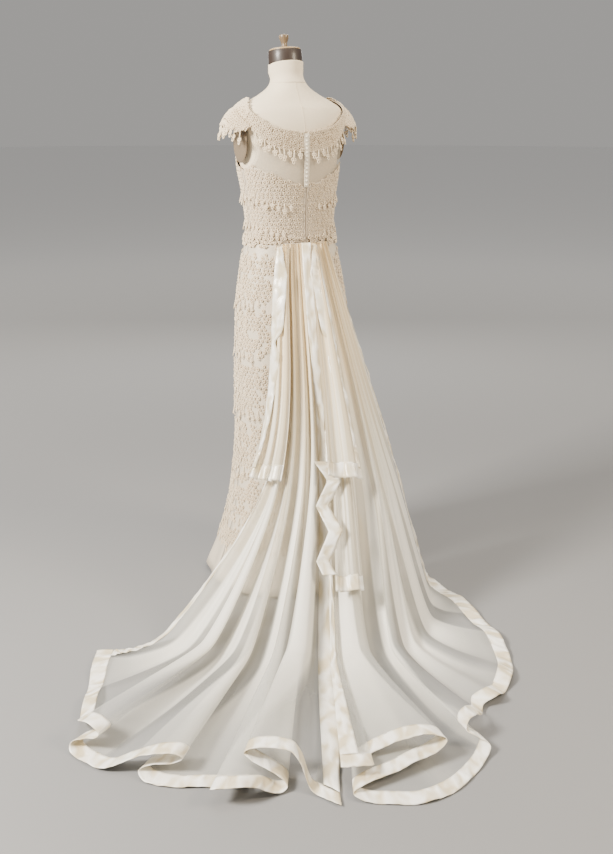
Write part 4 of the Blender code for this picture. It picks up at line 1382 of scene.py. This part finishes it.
def hem_rows(table):
    """Hem table as rows of (share along the hem, right, out, lift, share across)."""
    points = []
    for bearing, reach, lift in table:
        points.append((reach * sin(radians(bearing)), reach * cos(radians(bearing)), lift, bearing))
    length = [0.0]
    for a, b in zip(points, points[1:]):
        length.append(length[-1] + (Vector(b[:3]) - Vector(a[:3])).length)
    first = table[0][0]
    last = table[-1][0]
    rows = []
    for at, (right, out, lift, bearing) in zip(length, points):
        rows.append((at / length[-1], right, out, lift, (bearing - first) / (last - first)))
    return rows, length[-1]


def crease_height(creases, s, q):
    """Sum of the soft ridges and troughs at this place."""
    total = 0.0
    for top, foot, half, start, stop, height in creases:
        if start < q < stop:
            off = (s - (top + (foot - top) * q)) / (half * (3.4 - 1.9 * q))
            if abs(off) < 2.5:
                ends = sin(pi * (q - start) / (stop - start)) ** 0.8
                total += height * (0.2 + 0.8 * q) * ends * 2.718 ** (-off * off)
    return total


def long_panel(table, guide, first_turn, last_turn, seat, creases):
    rows, hem_length = hem_rows(table)

    def base(s, across, right, out, q):
        """Where the cloth would lie with no folds in it."""
        knee_share = 0.6 * s + 0.4 * across
        touch_share = 0.15 * s + 0.85 * across
        kr, ko, kh = curve(guide, knee_share)[:3]
        tr, to = curve(guide, touch_share)[3:]
        waist = body(first_turn + (last_turn - first_turn) * s, WAIST_HEIGHT, seat)
        stops = [
            (0.0, *waist),
            (KNEE_AT, *in_room(kr, ko, kh)),
            (TOUCH_AT, *in_room(tr, to, -0.020)),
            (1.0, *in_room(right, out, -0.100)),
        ]
        return stops

    def rest_on_floor(stops, q):
        p = Vector(curve(stops, q))
        p.z = 0.5 * (p.z + sqrt(p.z**2 + 0.03**2)) + 0.0008
        return p

    def point(s, q, extra=0.0):
        right, out, lift, across = curve(rows, s)
        stops = base(s, across, right, out, q)
        here = rest_on_floor(stops, q)
        step = rest_on_floor(stops, min(q + 0.01, 1.0)) - rest_on_floor(stops, max(q - 0.01, 0.0))
        spread = in_room(out, -right, 0.0) / sqrt(right**2 + out**2)
        up = spread.cross(step).normalized()
        if up.z < 0:
            up = -up
        grow = 0.08 + 0.92 * min(q / 0.95, 1.0) ** (0.8 + 0.55 * max(0.0, 1 - q / 0.8))
        if creases:
            extra += crease_height(creases, s, q)
            uneven = 0.55 + 0.45 * sin(17 * s + 2) * sin(41 * s)
            extra += GATHER_DEPTH * uneven * cos(2 * pi * GATHERS * s + 5 * sin(9 * s)) * max(0.0, 1 - q / 0.26)
            extra += 0.010 * q * (1.1 - q) * noise.noise(Vector((s * 11.0, q * 1.7, seat * 900)))
        return here + up * (lift * grow + extra)

    def plain(share, q, out, slide=0.0):
        """The same surface with no folds, moved out from the long panel by a clearance."""
        tr, to = curve(guide, share)[3:]
        side = in_room(to, -tr, 0.0) / sqrt(tr**2 + to**2)
        stops = base(share, share, 1.7 * tr, 1.7 * to, q)
        here = rest_on_floor(stops, q)
        step = rest_on_floor(stops, q + 0.01) - rest_on_floor(stops, q - 0.01)
        up = side.cross(step).normalized()
        if up.dot(in_room(tr, to, 0.3)) < 0:
            up = -up
        return here + up * out + side * slide

    return point, plain, hem_length


def band_share(point, s, step=0.01):
    """Share of the column that the hem band takes up, measured back along the cloth."""
    q = 1.0
    here = point(s, q)
    run = 0.0
    while True:
        there = point(s, q - step)
        part = (there - here).length
        if run + part >= BAND_WIDTH:
            return 1 - q + step * (BAND_WIDTH - run) / part
        run += part
        q -= step
        here = there


def pucker(along, across):
    """Small uneven puckers of a satin band, in metres, from distances along and across it."""
    tight = noise.noise(Vector((along / 0.017, across / 0.060, 4.0)))
    wide = noise.noise(Vector((along / 0.050, across / 0.090, 7.0)))
    return 0.0022 * tight + 0.0044 * wide


def organza_finish():
    """Silk organza: clear crossed threads, warmer near the gathers and cooler towards the hem."""
    made = cloth_finish(
        "silk_organza", (0.97, 0.955, 0.92), (0.90, 0.88, 0.83), 0.5, 1200, 18, 0.10, sheen=0.25, alpha=0.5
    )
    nodes = made.node_tree.nodes
    links = made.node_tree.links
    shader = nodes["Principled BSDF"]
    down = nodes.new("ShaderNodeAttribute")
    down.attribute_name = "down"
    warm = nodes.new("ShaderNodeValToRGB")
    warm.color_ramp.elements[0].color = (0.88, 0.70, 0.43, 1.0)
    warm.color_ramp.elements[1].color = (0.60, 0.61, 0.60, 1.0)
    warm.color_ramp.elements[1].position = 0.72
    middle = warm.color_ramp.elements.new(0.34)
    middle.color = (0.78, 0.68, 0.49, 1.0)
    links.new(down.outputs["Fac"], warm.inputs["Fac"])
    tone = nodes.new("ShaderNodeMix")
    tone.data_type = "RGBA"
    tone.blend_type = "MULTIPLY"
    tone.inputs[0].default_value = 1.0
    doubled = nodes.new("ShaderNodeAttribute")
    doubled.attribute_name = "doubled"
    both = mixer(nodes, links, doubled.outputs["Fac"], warm.outputs["Color"], (0.88, 0.865, 0.82))
    links.new(both, tone.inputs[6])
    links.new(shader.inputs["Base Color"].links[0].from_socket, tone.inputs[7])
    links.new(tone.outputs[2], shader.inputs["Base Color"])
    close = nodes.new("ShaderNodeValToRGB")
    close.color_ramp.elements[0].color = (0.90, 0.90, 0.90, 1.0)
    close.color_ramp.elements[0].position = 0.25
    close.color_ramp.elements[1].color = (0.20, 0.20, 0.20, 1.0)
    close.color_ramp.elements[1].position = 0.90
    between = close.color_ramp.elements.new(0.58)
    between.color = (0.58, 0.58, 0.58, 1.0)
    links.new(down.outputs["Fac"], close.inputs["Fac"])
    cover = nodes.new("ShaderNodeMath")
    cover.operation = "MULTIPLY_ADD"
    cover.use_clamp = True
    cover.inputs[1].default_value = 0.46
    links.new(doubled.outputs["Fac"], cover.inputs[0])
    links.new(close.outputs["Color"], cover.inputs[2])
    links.new(cover.outputs[0], shader.inputs["Alpha"])
    return made


ORGANZA = organza_finish()


def mark(made, name, values):
    layer = made.data.attributes.new(name, "FLOAT", "POINT")
    layer.data.foreach_set("value", values)


def organza_sheet(name, columns, rows, place, cut, nodes, down, lean):
    """Organza, with how far down each point is, and where a soft fold doubles it, for the finish.
    lean is how far the folds of the top lean across the cloth by its foot."""
    bm = cloth_grid(columns, rows, place, cut)
    shares = []
    folds = []
    for j in range(rows + 1):
        for i in range(columns + 1):
            across = i / columns
            q = j / rows
            shares.append(down * q)
            wander = noise.noise(Vector((q * 2.3, down * 7.0, across * 2.0)))
            band = noise.noise(Vector((across * 13.0 + lean * q + 0.6 * wander, q * 0.5, down * 3.0)))
            fade = min(max((q * down - 0.22) / 0.30, 0.0), 1.0) * min(1.0, 3.0 * (1.06 - q))
            folds.append(min(max(band * 12.0, 0.0), 1.0) * (0.25 + 0.75 * fade))
    made = piece(name, bm, ORGANZA, nodes)
    mark(made, "down", shares)
    mark(made, "doubled", folds)
    return made


def train_panel(word, table, guide, turns, seat, creases, edges, wide_side, lean, flat):
    point, plain, hem_length = long_panel(table, guide, *turns, seat, creases)
    edge = BAND_WIDTH / hem_length
    tuck = 0.0030 / hem_length
    stations = 160
    bands = [band_share(point, k / stations) for k in range(stations + 1)]

    def band_at(s):
        at = min(max(s, 0.0), 1.0) * stations
        k = min(int(at), stations - 1)
        return bands[k] + (bands[k + 1] - bands[k]) * (at - k)

    def wide_edge(start, q):
        """Share that an upright band takes up. The band of the opening keeps its width further up."""
        if wide_side is None or round(start) != wide_side:
            return edge
        speed = (point(0.010 + 0.98 * wide_side, q) - point(0.98 * wide_side, q)).length / 0.010
        speed = max(speed, (point(0.06 + 0.88 * wide_side, q) - point(0.88 * wide_side, q)).length / 0.06)
        return min(max(edge, 0.5 * BAND_WIDTH / speed), 0.10)

    wide = {start: [wide_edge(start, k / 60) for k in range(61)] for start in (0.0, 1.0)}

    def edge_at(start, q):
        at = min(max(q, 0.0), 1.0) * 60
        k = min(int(at), 59)
        return wide[start][k] + (wide[start][k + 1] - wide[start][k]) * (at - k)

    def panel(s, q):
        low = edge_at(0.0, q) - tuck
        high = 1 - edge_at(1.0, q) + tuck
        share = low + (high - low) * s
        return point(share, (1 - 0.93 * band_at(share)) * q)

    def upright(start):
        def place(s, q):
            taken = edge_at(start, q)
            share = start * (1 - taken) + taken * s
            down = (1 - band_at(share)) * q
            if wide_side is None or round(start) != wide_side:
                return point(share, down, 0.0008 + pucker(down * 1.9, s * BAND_WIDTH) * 0.8)
            root = point(1 - taken, down, 0.0012)
            tip = point(1.0, down, 0.0012)
            widen = min(max((q - 0.40) / 0.12, 0.0), 1.0)
            flat = root + in_room(1, 0, 0) * (0.026 + (BAND_WIDTH - 0.026) * widen * widen * (3 - 2 * widen))
            low = max(0.0, (q - 0.86) / 0.14) ** 1.5
            swing = 0.008 * sin(9 * q + 1) * q * (1 - low)
            end = flat.lerp(tip, low) + in_room(1, 0, 0) * swing
            crown = (0.2 + 0.8 * widen) * (0.004 * sin(pi * s) + 0.8 * pucker(down * 1.9, s * BAND_WIDTH))
            lifted = (point(1 - taken, down, 0.0112) - root) * 100 * crown * (1 - 0.6 * low)
            return root.lerp(end, s) + lifted

        return place

    def hem(s, q):
        wave = pucker(s * hem_length, (1 - q) * BAND_WIDTH)
        return point(s, 1 - band_at(s) * (1 - q), wave * (0.35 + 0.65 * q))

    long = organza_sheet(
        "train_organza_" + word,
        int(380 * FINE),
        int(150 * FINE),
        panel,
        (hem_length, 1.55),
        ("train_%s_panel" % word,),
        1.0,
        lean,
    )
    for start, edge_name in ((0.0, edges[0]), (1.0, edges[1])):
        piece(
                "train_satin_%s_%s" % (edge_name, word),
                cloth_grid(8, int(220 * FINE), upright(start), (BAND_WIDTH, 1.5)),
                SATIN,
                ("train_%s_%s_edge" % (word, edge_name),),
                0.0010,
            )
    piece(
            "train_satin_hem_" + word,
            cloth_grid(int(420 * FINE), 8, hem, (hem_length, BAND_WIDTH)),
            SATIN,
            ("train_%s_hem_band" % word,),
            0.0010,
        )
    # A straight-sided cut with the same hem, top and length has 1.61 m2, so the upper half of each panel holds less
    # cloth than a real one would.
    return point, plain


left_point, left_plain = train_panel(
    "left", LEFT_HEM, LEFT_GUIDE, (29, 2.0), 0.0042, LEFT_CREASES, ("outer", "opening"), 1, 1.4, (1.31, 1.78)
)
right_point, right_plain = train_panel(
    "right", RIGHT_HEM, RIGHT_GUIDE, (-2.0, -29), 0.0024, RIGHT_CREASES, ("opening", "outer"), None, -1.2, (1.17, 1.72)
)


# The overlay tiers and the tier in the opening.
# Real pieces: two short organza panels gathered at the waist over the long ones, and a narrow one
# between them, each with a satin hem and one satin upright edge, one of which falls in a zigzag.


def tier(plain, first, last, foot, lift_top, lift_foot, folds, depth, gathers):
    """Panel that lies over a long one. first and last are shares of it, foot is where the hem is."""

    def point(s, q, extra=0.0):
        share = first + (last - first) * s
        out = lift_top + (lift_foot - lift_top) * q**0.8
        wave = depth * (0.25 + 0.75 * q) * cos(2 * pi * folds * s)
        slide = 0.4 * depth * q * sin(4 * pi * folds * s)
        wave += 0.0014 * cos(2 * pi * gathers * s + 4 * sin(7 * s)) * max(0.0, 1 - q / 0.35)
        wave += 0.0050 * (0.3 + q) * noise.noise(Vector((s * 4.0, q * 0.9, gathers)))
        return plain(share, 0.004 + (foot - 0.004) * q, out + wave + extra, slide)

    return point


def tier_pieces(word, point, columns, edge, edge_first, twist, flat, area, foot):
    """Organza, satin hem and one satin edge, cut from the same surface."""
    low = band_share(point, 0.5)
    top = 1 - 0.94 * low
    start = 0.02 if edge and edge_first else 0.0
    stop = 0.98 if edge and not edge_first else 1.0
    long = organza_sheet(
        word + "_organza",
        int(columns * FINE),
        int(110 * FINE),
        lambda s, q: point(start + (stop - start) * s, top * q),
        flat,
        (word + "_panel",),
        foot,
        0.5,
    )
    trims = [
        piece(
            word + "_satin_hem",
            cloth_grid(
                int(columns * 1.4 * FINE),
                8,
                lambda s, q: point(s, 1 - low * (1 - q), pucker(s * flat[0], q * BAND_WIDTH)),
                (flat[0], BAND_WIDTH),
            ),
            SATIN,
            (word + "_hem_band",),
            0.0010,
        )
    ]
    if edge:
        outer = 0.0 if edge_first else 1.0
        inner = 0.45 if edge_first else 0.40

        def ribbon(s, q):
            """Satin edge: lies on the cloth, with a half twist and a narrow place on its way down."""
            down = 0.004 + (0.985 - 0.5 * low) * q
            start = point(outer, down, 0.0014)
            inward = (point(inner, down, 0.0014) - start).normalized()
            out = point(outer, down, 0.0114) - start
            narrow = 1 - twist[1] * 2.718 ** (-(((q - twist[0]) / 0.035) ** 2))
            broad = 0.040 * narrow * min(1.0, 0.35 + 5 * q) * (1.0 - twist[2] * max(0.0, q - 0.35))
            lift = 0.0030 * sin(pi * s) + 0.004 * (1 - narrow) * (s - 0.5)
            return start + inward * broad * (s if edge_first else 1 - s) + out * 100 * (
                lift + 0.6 * pucker(q * 0.7, s * 0.05)
            )

        trims.append(
            piece(
                word + "_satin_edge",
                cloth_grid(10, int(160 * FINE), ribbon, (BAND_WIDTH, 0.7)),
                SATIN,
                (word + "_edge",),
                0.0010,
            )
        )
    return long, trims


for word, surface, edge, edge_first, twist, flat, area, foot in (
    (
        "overlay_left",
        tier(left_plain, -0.04, 0.42, 0.425, 0.0116, 0.062, 2.5, 0.010, 11),
        True,
        True,
        (0.42, 0.55, 1.1),
        (0.16, 0.63),
        0.0624,
        0.42,
    ),
    (
        "overlay_right",
        tier(right_plain, -0.02, 0.24, 0.435, 0.0151, 0.086, 1.5, 0.010, 9),
        True,
        False,
        (0.46, 0.70, 0.5),
        (0.12, 0.65),
        0.0464,
        0.42,
    ),
    (
        "opening_tier",
        tier(right_plain, 0.035, 0.195, 0.575, 0.0100, 0.060, 1.5, 0.006, 5),
        False,
        False,
        (0.0, 0.0, 0.0),
        (0.10, 0.96),
        0.0557,
        0.55,
    ),
):
    long, trims = tier_pieces(word, surface, 120, edge, edge_first, twist, flat, area, foot)
    if word == "opening_tier":

        def zigzag(s, q):
            """Satin edge of the opening tier, which falls in a zigzag beside it."""
            swing = 1 - 4 * abs((4.5 * s / 2) % 1 - 0.5)
            slide = -0.006 + 0.017 * swing + 0.038 * (q - 0.5)
            out = 0.0600 + 0.0132 * s - 0.006 * (1 + cos(pi * 4.5 * s)) + 0.010 * swing * (q - 0.5)
            return right_plain(0.012, 0.405 + 0.150 * s, out, slide)

        trims.append(
            piece(
                "opening_tier_satin_zigzag",
                cloth_grid(6, int(216 * FINE), lambda s, q: zigzag(q, s), (0.04, 0.6), flip=True),
                SATIN,
                ("opening_tier_zigzag",),
                0.0010,
            )
        )
    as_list(trims)


# Floor, light and camera.
# A pale floor, painted dark near the dress as shade, soft studio light from the left and above, and the photograph's
# viewpoint.

floor = bpy.data.materials.new("pale_floor_with_painted_shade")
floor.use_nodes = True
nodes = floor.node_tree.nodes
links = floor.node_tree.links
where = nodes.new("ShaderNodeTexCoord")
far = nodes.new("ShaderNodeVectorMath")
far.operation = "LENGTH"
links.new(where.outputs["Object"], far.inputs[0])
fade = nodes.new("ShaderNodeMapRange")
fade.interpolation_type = "SMOOTHSTEP"
fade.inputs["From Min"].default_value = 1.0
fade.inputs["From Max"].default_value = 7.0
links.new(far.outputs["Value"], fade.inputs["Value"])
# Painted shade: the floor is dark within a metre of the dress and grows pale from there out to seven metres, so a dark
# floor shows through the organza as shade.
links.new(mixer(nodes, links, fade.outputs["Result"], (0.22, 0.22, 0.224), (0.93, 0.93, 0.93)), nodes["Principled BSDF"].inputs["Base Color"])
floor.node_tree.nodes["Principled BSDF"].inputs["Roughness"].default_value = 0.9
bm = bmesh.new()
bmesh.ops.create_circle(bm, cap_ends=True, segments=96, radius=30.0)
mesh = bpy.data.meshes.new("floor")
bm.to_mesh(mesh)
bm.free()
mesh.materials.append(floor)
ground = bpy.data.objects.new("floor", mesh)
bpy.context.scene.collection.objects.link(ground)

world = bpy.data.worlds.new("studio")
world.use_nodes = True
world.node_tree.nodes["Background"].inputs["Color"].default_value = (0.96, 0.935, 0.90, 1.0)
world.node_tree.nodes["Background"].inputs["Strength"].default_value = 0.40
bpy.context.scene.world = world

CAMERA_AZIMUTH = radians(152)
toward = Vector((sin(CAMERA_AZIMUTH), -cos(CAMERA_AZIMUTH), 0))
rightward = Vector((-0.8829, 0.4695, 0))
for name, place, power, size, tone in (
    ("window_light", toward * 1.9 - rightward * 2.6 + Vector((0, 0, 2.5)), 400, 0.9, (1.0, 0.94, 0.84)),
    ("warm_light", toward * 1.4 + rightward * 2.6 + Vector((0, 0, 2.2)), 100, 0.9, (1.0, 0.86, 0.66)),
    ("top_light", Vector((0.1, 0.3, 3.4)), 60, 2.0, (1.0, 0.95, 0.86)),
    ("front_light", toward * -2.6 + Vector((0, 0, 2.4)), 60, 2.0, (1.0, 0.97, 0.93)),
):
    lamp = bpy.data.lights.new(name, "AREA")
    lamp.energy = power
    lamp.size = size
    lamp.color = tone
    holder = bpy.data.objects.new(name, lamp)
    bpy.context.scene.collection.objects.link(holder)
    holder.location = place
    aim = Vector((0.15, 0.3, 0.7)) - place
    holder.rotation_euler = aim.to_track_quat("-Z", "Y").to_euler()

camera = bpy.data.cameras.new("camera")
camera.sensor_fit = "VERTICAL"
camera.sensor_height = 36
camera.lens = 45.61
holder = bpy.data.objects.new("camera", camera)
bpy.context.scene.collection.objects.link(holder)
pan = atan(16.5 / 1082)
tilt = radians(17.11)
level = -toward * cos(pan) + rightward * sin(pan)
ahead = (level * cos(tilt) + Vector((0, 0, -1)) * sin(tilt)).normalized()
beside = ahead.cross(Vector((0, 0, 1))).normalized()
aim = Matrix((beside, beside.cross(ahead), -ahead)).transposed().to_4x4()
aim.translation = toward * 3.2 + Vector((0, 0, 1.45))
holder.matrix_world = aim
bpy.context.scene.camera = holder
